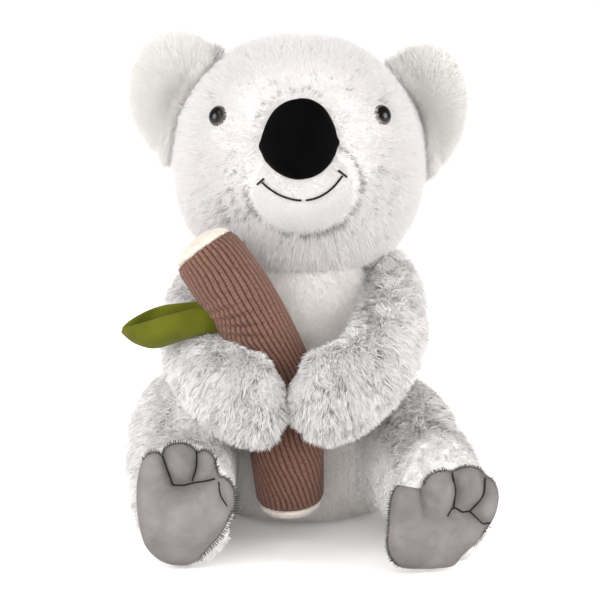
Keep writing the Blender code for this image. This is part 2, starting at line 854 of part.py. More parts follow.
def make_sole(side_name, side, place):
    """The puffed sole with toe and thumb lobes round its edge."""
    mesh = bpy.data.meshes.new("sole")
    work = bmesh.new()
    rings = []
    ring_table_shares = ((1.0, 0.0), (1.0, 1.0), (0.96, 1.0), (0.85, 1.0), (0.62, 1.0), (0.32, 1.0))
    for radius_share, puffed in ring_table_shares:
        ring = []
        for index in range(AROUND_SOLE):
            angle = 2 * math.pi * index / AROUND_SOLE
            reach = sole_radius(angle) * radius_share
            height = sole_puff(radius_share) * puffed + SEAM_GAP
            spot = Vector((side * reach * math.cos(angle), -height, reach * math.sin(angle)))
            ring.append(work.verts.new(place @ spot))
        rings.append(ring)
    for first, second in zip(rings, rings[1:]):
        for index in range(AROUND_SOLE):
            following = (index + 1) % AROUND_SOLE
            work.faces.new((first[index], first[following], second[following], second[index]))
    work.faces.new(rings[0])
    crown = work.verts.new(place @ Vector((0, -SOLE_PUFF - SEAM_GAP, 0)))
    for index in range(AROUND_SOLE):
        work.faces.new((rings[-1][index], rings[-1][(index + 1) % AROUND_SOLE], crown))
    bmesh.ops.recalc_face_normals(work, faces=work.faces)
    work.to_mesh(mesh)
    work.free()
    look = material("sole suede " + side_name, (0.36, 0.34, 0.33), 0.9)
    sole = add_part("sole_" + side_name, mesh, look)
    cut(sole, FLOOR)
    return sole


def sole_edge(angle):
    """Distance from the sole's middle to the straight facets of its outline."""
    step = 2 * math.pi / AROUND_SOLE
    first = math.floor(angle / step) * step
    second = first + step
    near = sole_radius(first)
    far = sole_radius(second)
    spread_out = near * math.sin(angle - first) + far * math.sin(second - angle)
    return near * far * math.sin(step) / spread_out


def sole_spot(shares, side, place):
    """A point where a thread lies just clear of the sole's puffed face."""
    across = shares[0] * SOLE_WIDTH
    rise = shares[1] * SOLE_HEIGHT
    edge = sole_edge(math.atan2(rise, across))
    share = min(math.hypot(across, rise) / edge, thread_reach_share)
    slope = 1.5 * share**2 / math.sqrt(1 - share**3) * (SOLE_PUFF - SOLE_EDGE) / edge
    clear = (SEAM_GAP + SOLE_THREAD / 2) * math.hypot(1, slope)
    return place @ Vector((side * across, -sole_puff(share) - SEAM_GAP - clear, rise))


def thread_line(shares, side, place, steps=6):
    """Points along a sole's thread, smooth through its chosen places."""
    rows = np.array(shares)
    return [sole_spot(smooth_at(rows, step / steps), side, place) for step in range(steps + 1)]


def make_sole_threads(side_name, side, place):
    """Threads that divide the toes and set off the thumb."""
    look = material("toe thread black " + side_name, (0.02, 0.02, 0.02), 0.7)
    first = thread_line(toe_line_shares[0], side, place)
    base = thread_line(toe_base_shares, side, place, 9)
    toes = thread("toe_thread_" + side_name, first + base[1:], SOLE_THREAD, look)
    second = thread_line(toe_line_shares[1], side, place)
    branch_line = thread("toe thread two " + side_name, second, SOLE_THREAD, look)
    joined = toes.modifiers.new("second toe line", "BOOLEAN")
    joined.operation = "UNION"
    joined.solver = "EXACT"
    CUTTERS.objects.link(branch_line)
    PARTS.objects.unlink(branch_line)
    branch_line.hide_render = True
    branch_line.display_type = "WIRE"
    joined.object = branch_line
    look = material("thumb thread black " + side_name, (0.02, 0.02, 0.02), 0.7)
    line = thread_line(thumb_line_shares, side, place)
    thumb = thread("thumb_thread_" + side_name, line, SOLE_THREAD, look)
    return [toes, thumb]


# Branch
# Places along the branch as shares of its lean, of its distance in front and of its
# height, then its half width and half depth there as shares of its width.
branch_shares = (
    (-0.10, 0.945, 0.150, 0.48, 0.46),
    (-0.12, 0.985, 0.240, 0.505, 0.48),
    (-0.14, 1.000, 0.350, 0.52, 0.46),
    (-0.12, 0.990, 0.480, 0.47, 0.40),
    (-0.22, 0.975, 0.600, 0.45, 0.42),
    (-0.50, 0.960, 0.750, 0.50, 0.48),
    (-0.80, 0.925, 0.890, 0.51, 0.50),
    (-1.06, 0.880, 0.995, 0.465, 0.465),
)


def branch_form():
    """Rows of the branch's ovals, from its foot up to its leaning top."""
    sizes = (BRANCH_LEAN, -BRANCH_FORWARD, BRANCH_HEIGHT, BRANCH_WIDTH, BRANCH_WIDTH)
    return table(branch_shares, *sizes), Vector((1, 0, 0))


def make_branch(clearances):
    """The corduroy tube, pressed flatter where the paws hold it."""
    mesh = loft(branch_form(), 15, AROUND_BRANCH)
    look = material("branch corduroy", (0.23, 0.13, 0.105), 0.95)
    branch = add_part("branch", mesh, look)
    for clearance in clearances:
        cut(branch, clearance)
    return branch


# Width of an end cap as a share of the branch's width there.
cap_width_share = 0.95


def make_branch_cap(end_name, share, outward, clearances):
    """The domed cream disc that closes one end of the branch."""
    centre, side, depth, half_side, _ = section(branch_form(), share)
    axis = side.cross(depth) * outward
    profile = []
    turns = 6
    radius = half_side * cap_width_share
    for turn in range(turns + 1):
        angle = math.pi / 2 * turn / turns
        profile.append((radius * math.sin(angle), CAP_REBATE + CAP_BULGE * math.cos(angle)))
    profile.append((radius, 0.0))
    profile.append((0.0, 0.0))
    turn = axis.to_track_quat("Z", "Y").to_matrix().to_4x4()
    place = Matrix.Translation(centre + axis * SEAM_GAP) @ turn
    look = material("cap plush " + end_name, (0.80, 0.72, 0.64), 0.95)
    cap = add_part("branch_cap_" + end_name, turned(profile, place, AROUND_BRANCH), look)
    for clearance in clearances:
        cut(cap, clearance)
    return cap


# Leaf
# Half width along the leaf, as a share of its wing, from stem to tip.
leaf_wing_shares = (0.70, 0.86, 0.98, 1.00, 0.92, 0.66, 0.14)


def leaf_root():
    """Where the leaf's stem meets the left side of the branch."""
    rows, _ = branch_form()
    heights = rows[:, 2]
    upper = int(np.argmax(heights > LEAF_RISE))
    lower = max(upper - 1, 0)
    share = (LEAF_RISE - heights[lower]) / (heights[upper] - heights[lower])
    place = (lower + share) / (len(rows) - 1)
    centre, side, depth, half_side, _ = section(branch_form(), place)
    return centre - side * half_side, side.cross(depth)


def make_leaf(branch_clearance, arm_clearance):
    """Two layers of velvet, folded up along the midrib and spread towards the tip."""
    root, seam = leaf_root()
    mesh = bpy.data.meshes.new("leaf")
    work = bmesh.new()
    along_steps = 12
    wing_steps = 3
    shares = np.array(leaf_wing_shares)
    lines = []
    for step in range(along_steps + 1):
        share = step / along_steps
        wing = smooth_at(shares, share) * LEAF_WING
        opening = LEAF_OPEN_STEM + (LEAF_OPEN_TIP - LEAF_OPEN_STEM) * share
        line = []
        for index in range(-wing_steps, wing_steps + 1):
            out = index / wing_steps
            bow = math.sin(abs(out) * math.pi / 2)
            sideways = math.copysign(wing * bow * math.sin(opening), out) if index else 0.0
            upward = wing * abs(out) * math.cos(opening)
            spot = Vector((-share * LEAF_LENGTH, sideways, upward))
            line.append(work.verts.new(spot))
        lines.append(line)
    for first, second in zip(lines, lines[1:]):
        for index in range(2 * wing_steps):
            work.faces.new((first[index], first[index + 1], second[index + 1], second[index]))
    start = root + Vector((LEAF_TUCK, 0, -LEAF_STEM / 2))
    place = Matrix.Translation(start)
    place = place @ Matrix.Rotation(LEAF_SINK, 4, "Y") @ Matrix.Rotation(LEAF_TILT, 4, "X")
    bmesh.ops.transform(work, matrix=place, verts=work.verts)
    bmesh.ops.recalc_face_normals(work, faces=work.faces)
    work.to_mesh(mesh)
    work.free()
    leaf = add_part("leaf", mesh, material("leaf velvet", (0.25, 0.32, 0.03), 0.85))
    wall = leaf.modifiers.new("two layers", "SOLIDIFY")
    wall.thickness = LEAF_THICKNESS
    wall.offset = 0.0
    wall.use_even_offset = True
    cut(leaf, branch_clearance)
    cut(leaf, swung(branch_clearance, (root, seam), LEAF_FLAP))
    cut(leaf, arm_clearance)
    cut(leaf, swung(arm_clearance, shoulder(-1), -ARM_LEFT_OPEN))
    return leaf


# Assembly, from the largest piece to the smallest
clear_scene()
PARTS = new_collection("PlushKoala")
CUTTERS = new_collection("Cutters")
spread = TORSO_WIDTH + LEG_REACH
FLOOR = add_cutter("floor", block(Vector((-spread, -spread, -OVERRUN)), Vector((spread, spread, 0))))

torso = make_torso()
torso_clearance = grown(torso)
head = make_head(torso_clearance)
head_clearance = grown(head)
ear_left_fit = (ear_left_shares, EAR_LEFT_TURN, EAR_LEFT_LEAN, head_clearance, ear_hinge(-1))
ear_right_fit = (ear_right_shares, EAR_RIGHT_TURN, EAR_RIGHT_LEAN, head_clearance, ear_hinge(1))
ear_left = make_ear("left", *ear_left_fit)
ear_right = make_ear("right", *ear_right_fit)
muzzle = make_muzzle(head_clearance)
nose = make_nose(head_clearance, grown(muzzle))
mouth = make_mouth()
eyes = make_eye("left", eye_left_share, head) + make_eye("right", eye_right_share, head)

left_sole_place = sole_place(sole_left_shares, SOLE_LEFT_TURN, SOLE_LEFT_LEAN, SOLE_LEFT_ROLL)
right_sole_place = sole_place(sole_right_shares, SOLE_RIGHT_TURN, SOLE_RIGHT_LEAN, SOLE_RIGHT_ROLL)
leg_left = make_leg("left", leg_left_shares, left_sole_place, torso_clearance, hip(-1))
leg_right = make_leg("right", leg_right_shares, right_sole_place, torso_clearance, hip(1))
left_foot = [make_sole("left", 1, left_sole_place)]
left_foot += make_sole_threads("left", 1, left_sole_place)
right_foot = [make_sole("right", -1, right_sole_place)]
right_foot += make_sole_threads("right", -1, right_sole_place)

branch = make_branch([torso_clearance, head_clearance])
cap_top = make_branch_cap("top", 1.0, 1, [head_clearance])
cap_bottom = make_branch_cap("bottom", 0.0, -1, [torso_clearance])
branch_clearance = grown(branch)
leg_left_clearance = grown(leg_left)
leg_right_clearance = grown(leg_right)
around_right = [torso_clearance, head_clearance, leg_right_clearance, branch_clearance]
leg_right_sweep = grown(leg_right, SWEEP_GAP)
leg_left_sweep = grown(leg_left, SWEEP_GAP)
swept_right = [
    (torso_clearance, shoulder(1), ARM_RIGHT_OPEN),
    (leg_right_sweep, hip(1), -LEG_SPLAY),
]
arm_right = make_arm("right", arm_right_shares, around_right, swept_right)
around_left = [torso_clearance, head_clearance, leg_left_clearance, branch_clearance]
around_left.append(grown(arm_right))
swept_left = [
    (torso_clearance, shoulder(-1), ARM_LEFT_OPEN),
    (leg_left_sweep, shoulder(-1), ARM_LEFT_OPEN / 2),
    (leg_left_sweep, shoulder(-1), ARM_LEFT_OPEN),
    (leg_left_sweep, hip(-1), -LEG_SPLAY / 3),
    (leg_left_sweep, hip(-1), -2 * LEG_SPLAY / 3),
    (leg_left_sweep, hip(-1), -LEG_SPLAY),
]
arm_left = make_arm("left", arm_left_shares, around_left, swept_left)
leaf = make_leaf(branch_clearance, grown(arm_left))

# Pivots on the joints' axes
neck_pivot = pivot("neck axis", Vector((0, -NECK_FORWARD, HEAD_BASE)))
ear_left_pivot = pivot("ear axis left", ear_hinge(-1)[0])
ear_right_pivot = pivot("ear axis right", ear_hinge(1)[0])
for ear_pivot in (ear_left_pivot, ear_right_pivot):
    carry(ear_pivot, neck_pivot)
carried = {
    neck_pivot: [head, muzzle, nose, mouth] + eyes,
    ear_left_pivot: [ear_left],
    ear_right_pivot: [ear_right],
    pivot("shoulder axis left", shoulder(-1)[0]): [arm_left],
    pivot("shoulder axis right", shoulder(1)[0]): [arm_right],
    pivot("hip axis left", hip(-1)[0]): [leg_left] + left_foot,
    pivot("hip axis right", hip(1)[0]): [leg_right] + right_foot,
    pivot("leaf axis", leaf_root()[0]): [leaf],
}
for holder, pieces in carried.items():
    for piece in pieces:
        carry(piece, holder)
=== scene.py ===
import math
import bmesh
import bpy
import numpy as np
from mathutils import Matrix, Vector, kdtree
from mathutils.bvhtree import BVHTree


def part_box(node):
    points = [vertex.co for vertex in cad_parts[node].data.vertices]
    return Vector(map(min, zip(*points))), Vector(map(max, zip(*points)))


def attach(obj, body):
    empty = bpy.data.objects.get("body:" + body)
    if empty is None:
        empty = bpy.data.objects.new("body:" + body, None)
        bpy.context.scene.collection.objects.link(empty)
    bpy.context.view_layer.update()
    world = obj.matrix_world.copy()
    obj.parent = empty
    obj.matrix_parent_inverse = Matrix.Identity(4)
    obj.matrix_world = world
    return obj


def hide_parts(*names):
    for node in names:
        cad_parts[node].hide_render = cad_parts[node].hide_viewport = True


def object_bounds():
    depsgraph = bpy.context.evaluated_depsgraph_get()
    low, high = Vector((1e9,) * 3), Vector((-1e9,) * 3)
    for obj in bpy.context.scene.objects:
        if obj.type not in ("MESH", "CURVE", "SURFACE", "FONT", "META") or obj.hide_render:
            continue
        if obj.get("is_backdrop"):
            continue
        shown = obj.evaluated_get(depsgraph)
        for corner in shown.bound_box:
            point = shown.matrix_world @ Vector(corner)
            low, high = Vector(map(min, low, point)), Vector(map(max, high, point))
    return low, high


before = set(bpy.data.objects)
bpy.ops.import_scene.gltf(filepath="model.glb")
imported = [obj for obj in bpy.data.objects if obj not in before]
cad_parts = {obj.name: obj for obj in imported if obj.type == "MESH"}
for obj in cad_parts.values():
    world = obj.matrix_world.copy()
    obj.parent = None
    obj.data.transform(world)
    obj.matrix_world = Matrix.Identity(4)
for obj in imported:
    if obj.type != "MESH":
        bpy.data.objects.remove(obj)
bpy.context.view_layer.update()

# Camera
# A long lens 1.5 m in front of the koala and 9 degrees above it, level with its chest.
# The koala's middle stands one pixel left of the picture's.
camera_distance = 1.5
camera_rise = math.radians(9)
chest_height = 0.149
pixel = 0.0007
frame_width = 600
middle_column = 299
sensor = 36.0
camera_data = bpy.data.cameras.new("camera")
camera_data.sensor_width = sensor
camera_data.lens = sensor * camera_distance / (frame_width * pixel)
camera_data.shift_x = (frame_width / 2 - middle_column) / frame_width
camera = bpy.data.objects.new("camera", camera_data)
bpy.context.scene.collection.objects.link(camera)
camera.location = (
    0,
    -camera_distance * math.cos(camera_rise),
    chest_height + camera_distance * math.sin(camera_rise),
)
camera.rotation_euler = (math.pi / 2 - camera_rise, 0, 0)
bpy.context.scene.camera = camera
bpy.context.scene.view_settings.view_transform = "Standard"


def sight(column, row):
    """The line of sight through a point of the picture, as its start and direction."""
    across = Vector((1, 0, 0))
    upward = Vector((0, math.sin(camera_rise), math.cos(camera_rise)))
    onward = Vector((0, math.cos(camera_rise), -math.sin(camera_rise)))
    reach = camera_distance / pixel
    way = onward * reach + across * (column - middle_column) + upward * (frame_width / 2 - row)
    return camera.location.copy(), way.normalized()


# Studio light
# A white tent round the toy, darker above and in reflections, with a large soft lamp above
# on the left, one in front that lightens the hollows, and one on each side for the edges.


def set_inputs(node, values):
    """Gives a shader node's inputs their values. A name has _ in place of each space."""
    for name, value in values.items():
        node.inputs[name.replace("_", " ")].default_value = value


def shader_node(tree, kind, operation=None, **values):
    """A new node in a node tree, with values for its inputs."""
    made = tree.nodes.new(kind)
    if operation:
        made.operation = operation
    set_inputs(made, values)
    return made


def wire(tree, *links):
    """Links nodes. Each link is a node, its output, the next node and its input."""
    for source, output, target, socket in links:
        tree.links.new(source.outputs[output], target.inputs[socket])


world = bpy.data.worlds.new("white tent")
bpy.context.scene.world = world
world.use_nodes = True
tent = world.node_tree
tent.nodes.clear()
tent_ray = shader_node(tent, "ShaderNodeLightPath")
tent_seen = shader_node(tent, "ShaderNodeMath", "MAXIMUM")
tent_place = shader_node(tent, "ShaderNodeTexCoord")
tent_parts = shader_node(tent, "ShaderNodeSeparateXYZ")
tent_fall = shader_node(tent, "ShaderNodeMapRange", To_Min=1.48, To_Max=0.30)
tent_light = shader_node(tent, "ShaderNodeBackground", Color=(1.0, 0.985, 0.975, 1))
tent_white = shader_node(tent, "ShaderNodeBackground", Strength=1.0)
tent_dim = shader_node(tent, "ShaderNodeBackground", Strength=0.25)
tent_glossy = shader_node(tent, "ShaderNodeMixShader")
tent_mix = shader_node(tent, "ShaderNodeMixShader")
tent_out = shader_node(tent, "ShaderNodeOutputWorld")
wire(
    tent,
    (tent_place, "Generated", tent_parts, 0),
    (tent_parts, "Z", tent_fall, "Value"),
    (tent_fall, "Result", tent_light, "Strength"),
    (tent_ray, "Is Camera Ray", tent_seen, 0),
    (tent_ray, "Is Transmission Ray", tent_seen, 1),
    (tent_seen, 0, tent_mix, 0),
    (tent_ray, "Is Glossy Ray", tent_glossy, 0),
    (tent_light, 0, tent_glossy, 1),
    (tent_dim, 0, tent_glossy, 2),
    (tent_glossy, 0, tent_mix, 1),
    (tent_white, 0, tent_mix, 2),
    (tent_mix, 0, tent_out, 0),
)


def lamp(name, place, size, power):
    """A large soft lamp that faces the koala's chest."""
    data = bpy.data.lights.new(name, "AREA")
    data.shape = "DISK"
    data.size = size
    data.energy = power
    made = bpy.data.objects.new(name, data)
    bpy.context.scene.collection.objects.link(made)
    made.location = place
    to_chest = Vector((0, 0, chest_height)) - made.location
    made.rotation_euler = to_chest.to_track_quat("-Z", "Y").to_euler()


lamp("high soft lamp", (-0.75, -1.15, 1.65), size=1.1, power=4.5)
lamp("right soft lamp", (1.5, -0.62, 0.60), size=0.9, power=12.0)
lamp("front soft lamp", (-0.40, -1.90, 0.65), size=1.6, power=9.0)
lamp("left soft lamp", (-1.5, -0.62, 0.60), size=0.9, power=9.5)

# Floor
# A white studio sweep that burns out to white where no shadow falls on it. It is staging
# and not a piece of the toy.
bpy.ops.mesh.primitive_plane_add(size=40, location=(0, 0, 0))
floor = bpy.context.active_object
floor.name = "floor"
floor_look = bpy.data.materials.new("white sweep")
floor_look.use_nodes = True
paper = floor_look.node_tree
paper.nodes.clear()
mix_first, mix_second, mix_result = 6, 7, 2  # a Mix node's sockets for colours
paper_for_light = (0.93, 0.925, 0.92, 1)
paper_for_camera = (1.38, 1.36, 1.345, 1)
paper_glow_strength = 0.10
paper_ray = shader_node(paper, "ShaderNodeLightPath")
paper_boost = shader_node(paper, "ShaderNodeMath", "MULTIPLY")
paper_boost.inputs[1].default_value = paper_glow_strength
paper_tone = shader_node(paper, "ShaderNodeMix")
paper_tone.data_type = "RGBA"
paper_tone.inputs[mix_first].default_value = paper_for_light
paper_tone.inputs[mix_second].default_value = paper_for_camera
paper_matte = shader_node(paper, "ShaderNodeBsdfDiffuse")
paper_glow = shader_node(paper, "ShaderNodeEmission")
paper_sum = shader_node(paper, "ShaderNodeAddShader")
paper_out = shader_node(paper, "ShaderNodeOutputMaterial")
wire(
    paper,
    (paper_ray, "Is Camera Ray", paper_boost, 0),
    (paper_ray, "Is Camera Ray", paper_tone, "Factor"),
    (paper_tone, mix_result, paper_matte, "Color"),
    (paper_boost, 0, paper_glow, "Strength"),
    (paper_matte, 0, paper_sum, 0),
    (paper_glow, 0, paper_sum, 1),
    (paper_sum, 0, paper_out, 0),
)
floor.data.materials.append(floor_look)
floor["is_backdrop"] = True

# Torso
# The stuffed body: short white plush in front, longer grey fur on the back, sewn at the
# sides. A cover is blown up from the body's form, and its pile is planted on it.


def only(piece):
    """Selects one object alone and makes it active."""
    bpy.ops.object.select_all(action="DESELECT")
    piece.select_set(True)
    bpy.context.view_layer.objects.active = piece


def linked(name, mesh):
    """Puts a mesh in the scene as an object at the origin."""
    made = bpy.data.objects.new(name, mesh)
    bpy.context.scene.collection.objects.link(made)
    return made


def unit(rows):
    """Each row of an array at length one."""
    return rows / np.maximum(np.linalg.norm(rows, axis=1, keepdims=True), 1e-12)


def step_between(values, low, high):
    """0 below low, 1 above high, and a smooth rise between them."""
    share = np.clip((values - low) / (high - low), 0, 1)
    return share * share * (3 - 2 * share)


def spots_of(mesh):
    """The places of a mesh's vertices as an array."""
    rows = np.empty(len(mesh.vertices) * 3, dtype=np.float32)
    mesh.vertices.foreach_get("co", rows)
    return rows.reshape(-1, 3).astype(float)


def put_spots(mesh, rows):
    """Moves a mesh's vertices to the places in an array."""
    mesh.vertices.foreach_set("co", rows.astype(np.float32).ravel())
    mesh.update()


def normals_of(mesh):
    """The directions of a mesh's vertices as an array."""
    rows = np.empty(len(mesh.vertices) * 3, dtype=np.float32)
    mesh.vertex_normals.foreach_get("vector", rows)
    return rows.reshape(-1, 3).astype(float)


def tree_of(piece):
    """A search tree over a piece."""
    work = bmesh.new()
    work.from_mesh(piece.data)
    made = BVHTree.FromBMesh(work)
    work.free()
    return made


trees = {}


def clear_by(points, neighbours, most):
    """How far each point is from the nearest of its neighbours' forms, up to a limit."""
    found = np.full(len(points), most)
    for node in neighbours:
        if node not in trees:
            trees[node] = tree_of(bpy.data.objects[node])
        low, high = (np.array(corner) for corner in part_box(node))
        close = np.all((points > low - most) & (points < high + most), axis=1)
        for index in np.flatnonzero(close):
            near = trees[node].find_nearest(Vector(points[index]), most)
            if near[0] is not None:
                found[index] = min(found[index], near[3])
    return found


def face_outward(piece, weld=0.0):
    """Joins the points of a piece that lie closer than weld and turns its faces outwards."""
    only(piece)
    bpy.ops.object.mode_set(mode="EDIT")
    bpy.ops.mesh.select_all(action="SELECT")
    if weld:
        bpy.ops.mesh.remove_doubles(threshold=weld)
    bpy.ops.mesh.normals_make_consistent(inside=False)
    bpy.ops.object.mode_set(mode="OBJECT")


def subdivide(piece, name, levels):
    """Rounds off the one selected piece."""
    finer = piece.modifiers.new(name, "SUBSURF")
    finer.levels = levels
    finer.render_levels = levels
    bpy.ops.object.modifier_apply(modifier=finer.name)


form_weld = 0.00002
seam_reach = 0.009
seam_closed, seam_open = 0.0012, 0.008
least_inset = 0.0003
filling_moments = 20
filling_pressure = 4


def stuffed(node, name, voxel, inset, swell, neighbours):
    """A sewn cover over a node's form, set in by its pile's thickness and filled by pressure.

    Near its neighbours it is hardly set in, so the seams stay closed."""
    piece = linked(name, bpy.data.objects[node].data.copy())
    piece.data.materials.clear()
    face_outward(piece, form_weld)
    net = piece.modifiers.new("even net", "REMESH")
    net.mode = "VOXEL"
    net.voxel_size = voxel
    bpy.ops.object.modifier_apply(modifier=net.name)
    ease = piece.modifiers.new("ease", "SMOOTH")
    ease.factor = 0.5
    ease.iterations = 3
    bpy.ops.object.modifier_apply(modifier=ease.name)
    start = spots_of(piece.data)
    room = clear_by(start, neighbours, seam_reach)
    open_air = step_between(room, seam_closed, seam_open)[:, None]
    start = start - normals_of(piece.data) * (least_inset + (inset + swell / 2) * open_air)
    put_spots(piece.data, start)
    filling = piece.modifiers.new("filling", "CLOTH")
    filling.settings.quality = 4
    filling.settings.use_pressure = True
    filling.settings.uniform_pressure_force = filling_pressure
    filling.settings.effector_weights.gravity = 0
    filling.point_cache.frame_start = 1
    filling.point_cache.frame_end = filling_moments
    for moment in range(1, filling_moments + 1):
        bpy.context.scene.frame_set(moment)
    graph = bpy.context.evaluated_depsgraph_get()
    blown = piece.evaluated_get(graph).to_mesh()
    moves = spots_of(blown) - start
    piece.evaluated_get(graph).to_mesh_clear()
    piece.modifiers.remove(filling)
    bpy.context.scene.frame_set(1)
    reach = np.linalg.norm(moves, axis=1, keepdims=True)
    capped = moves * np.minimum(1, swell / np.maximum(reach, 1e-9))
    put_spots(piece.data, start + capped * open_air)
    subdivide(piece, "round off", 1)
    bpy.ops.object.shade_smooth()
    return piece


def mottle(points, size, seed):
    """Soft blotches from 0 to 1 over space, of about a given size."""
    draw = np.random.default_rng(seed)
    total = np.zeros(len(points))
    for _ in range(9):
        way = unit(draw.normal(size=(1, 3)))[0]
        wave = 2 * math.pi / (size * draw.uniform(1.4, 3.2))
        total += np.sin(points @ way * wave + draw.uniform(0, 2 * math.pi))
    return 1 / (1 + np.exp(-total * 0.9))


def mesh_of_triangles(name, points, corners, places):
    """A mesh from arrays of points, triangles and a map place for each corner."""
    mesh = bpy.data.meshes.new(name)
    mesh.vertices.add(len(points))
    mesh.vertices.foreach_set("co", points.astype(np.float32).ravel())
    mesh.loops.add(len(corners) * 3)
    mesh.loops.foreach_set("vertex_index", corners.astype(np.int32).ravel())
    mesh.polygons.add(len(corners))
    mesh.polygons.foreach_set("loop_start", np.arange(len(corners), dtype=np.int32) * 3)
    mesh.update(calc_edges=True)
    layer = mesh.uv_layers.new(name="OFBake")
    layer.data.foreach_set("uv", places.astype(np.float32).ravel())
    return mesh


root_depth = 0.0003
fur_reach = 0.012
floor_gap = 0.0004
map_half_width = 0.014
waist = 0.75


def pile(
    name, cover, neighbours, strands, seed, length, width, comb, tone, lean, painted_shade=None,
    stray=0.35, swirl=0.0, bunches=0, gather=0.0, roll=0.8, bend=False, reach=1.3, bare=0.0006,
):
    """Planted fur: each strand is a thin tapered blade, and its map holds tone and height.

    length, comb, tone and the painted shade are functions of the roots' places and outward
    directions; the painted shade greys a strand's fibres where shade should fall.
    lean is from upright, stray and swirl turn the way it lies, bunches gather it, roll turns
    it about itself, reach is how near a neighbour it comes and bare is left free there."""
    draw = np.random.default_rng(seed)
    mesh = cover.data
    mesh.calc_loop_triangles()
    points = spots_of(mesh)
    outward = normals_of(mesh)
    corners = np.empty(len(mesh.loop_triangles) * 3, dtype=np.int32)
    mesh.loop_triangles.foreach_get("vertices", corners)
    corners = corners.reshape(-1, 3)
    room = clear_by(points, neighbours, fur_reach)
    edges = points[corners[:, 1:]] - points[corners[:, :1]]
    area = np.linalg.norm(np.cross(edges[:, 0], edges[:, 1]), axis=1)
    planted = step_between(room, bare, bare * 2.5) * step_between(points[:, 2], 0.0, 0.004)
    weight = np.cumsum(area * planted[corners].mean(axis=1))
    pick = corners[np.searchsorted(weight / weight[-1], draw.random(strands))]
    mix = np.sort(draw.random((strands, 2)), axis=1)
    share = np.stack([mix[:, 0], mix[:, 1] - mix[:, 0], 1 - mix[:, 1]], axis=1)[:, :, None]
    root = (points[pick] * share).sum(axis=1)
    up = unit((outward[pick] * share).sum(axis=1))
    free = (room[pick][:, :, None] * share).sum(axis=1)[:, 0]
    tall = length(root, up) * draw.uniform(0.7, 1.15, strands)
    tall = np.minimum(tall, free * reach + tall * 0.30)
    way = unit(comb(root, up)) + draw.normal(size=(strands, 3)) * stray
    if swirl:
        turned = [mottle(root, 0.008, seed + order) for order in range(3)]
        way += swirl * (np.stack(turned, axis=1) - 0.5)
    way = unit(way - up * np.minimum((way * up).sum(axis=1), 0)[:, None])
    tilt = lean + draw.normal(size=strands) * 0.16
    heading = unit(up * np.cos(tilt)[:, None] + way * np.sin(tilt)[:, None])
    tip = root + heading * tall[:, None]
    if bunches:
        centres = draw.integers(0, strands, bunches)
        finder = kdtree.KDTree(bunches)
        for order, centre in enumerate(centres):
            finder.insert(root[centre], order)
        finder.balance()
        nearest = centres[np.array([finder.find(spot)[1] for spot in root])]
        pull = gather * draw.uniform(0.35, 1.0, strands)[:, None]
        tip = tip + (tip[nearest] - tip) * pull
    heading = unit(tip - root)
    side = unit(np.cross(heading, up))
    turn = draw.uniform(-roll, roll, strands)[:, None]
    side = side * np.cos(turn) + np.cross(side, heading) * np.sin(turn)
    slim = np.minimum(1, 0.35 + 0.65 * tall / tall.max())
    half = side * (width * slim * draw.uniform(0.7, 1.3, strands) / 2)[:, None]
    foot = root - up * root_depth
    chance = draw.random(strands)
    if bunches:
        chance = 0.55 * chance + 0.45 * chance[nearest]
    dark = chance < (0.93 - tone(root, up)) * 1.1
    dark_shade = draw.uniform(0.04, 0.40, strands)
    pale_shade = draw.uniform(0.92, 0.99, strands)
    shade = np.where(dark, dark_shade, pale_shade)
    # Painted shade: a strand's tone is greyed where shade should fall.
    if painted_shade:
        shade = np.maximum(shade - painted_shade(root, up), 0.03)
    if bend:
        middle = root + (tip - root) * 0.5 + up * (tall * 0.10)[:, None]
        middle_half = half * waist
        blade = np.stack(
            [foot - half, foot + half, middle - middle_half, middle + middle_half, tip], axis=1
        )
        order = np.array([[0, 1, 3], [0, 3, 2], [2, 3, 4]])
        heights = np.array([0.0, 0.0, 0.5, 0.5, 1.0])
        sides = np.array([-1.0, 1.0, -waist, waist, 0.0])
    else:
        blade = np.stack([foot - half, foot + half, tip], axis=1)
        order = np.array([[0, 1, 2]])
        heights = np.array([0.0, 0.0, 1.0])
        sides = np.array([-1.0, 1.0, 0.0])
    count = blade.shape[1]
    triangles = (np.arange(strands)[:, None, None] * count + order[None]).reshape(-1, 3)
    across = shade[:, None] + map_half_width * sides[None]
    places = np.stack([across, np.broadcast_to(heights, across.shape)], axis=2)
    places = places[:, order].reshape(-1, 2)
    rows = blade.reshape(-1, 3)
    rows[:, 2] = np.maximum(rows[:, 2], floor_gap)
    return linked(name, mesh_of_triangles(name, rows, triangles, places))


def new_look(name, **values):
    """A new material, its node tree and its main shader with values for its inputs."""
    look = bpy.data.materials.new(name)
    look.use_nodes = True
    shader = look.node_tree.nodes["Principled BSDF"]
    set_inputs(shader, values)
    return look, look.node_tree, shader


def colour_ramp(tree, *stops):
    """A colour ramp through stops in rising order, each a place and a colour."""
    made = shader_node(tree, "ShaderNodeValToRGB")
    elements = made.color_ramp.elements
    for order, (place, colour) in enumerate(stops):
        element = elements[order] if order < 2 else elements.new(place)
        element.position = place
        element.color = (*colour, 1)
    return made


def map_node(tree):
    """The node that reads a piece's own map."""
    made = shader_node(tree, "ShaderNodeUVMap")
    made.uv_map = "OFBake"
    return made


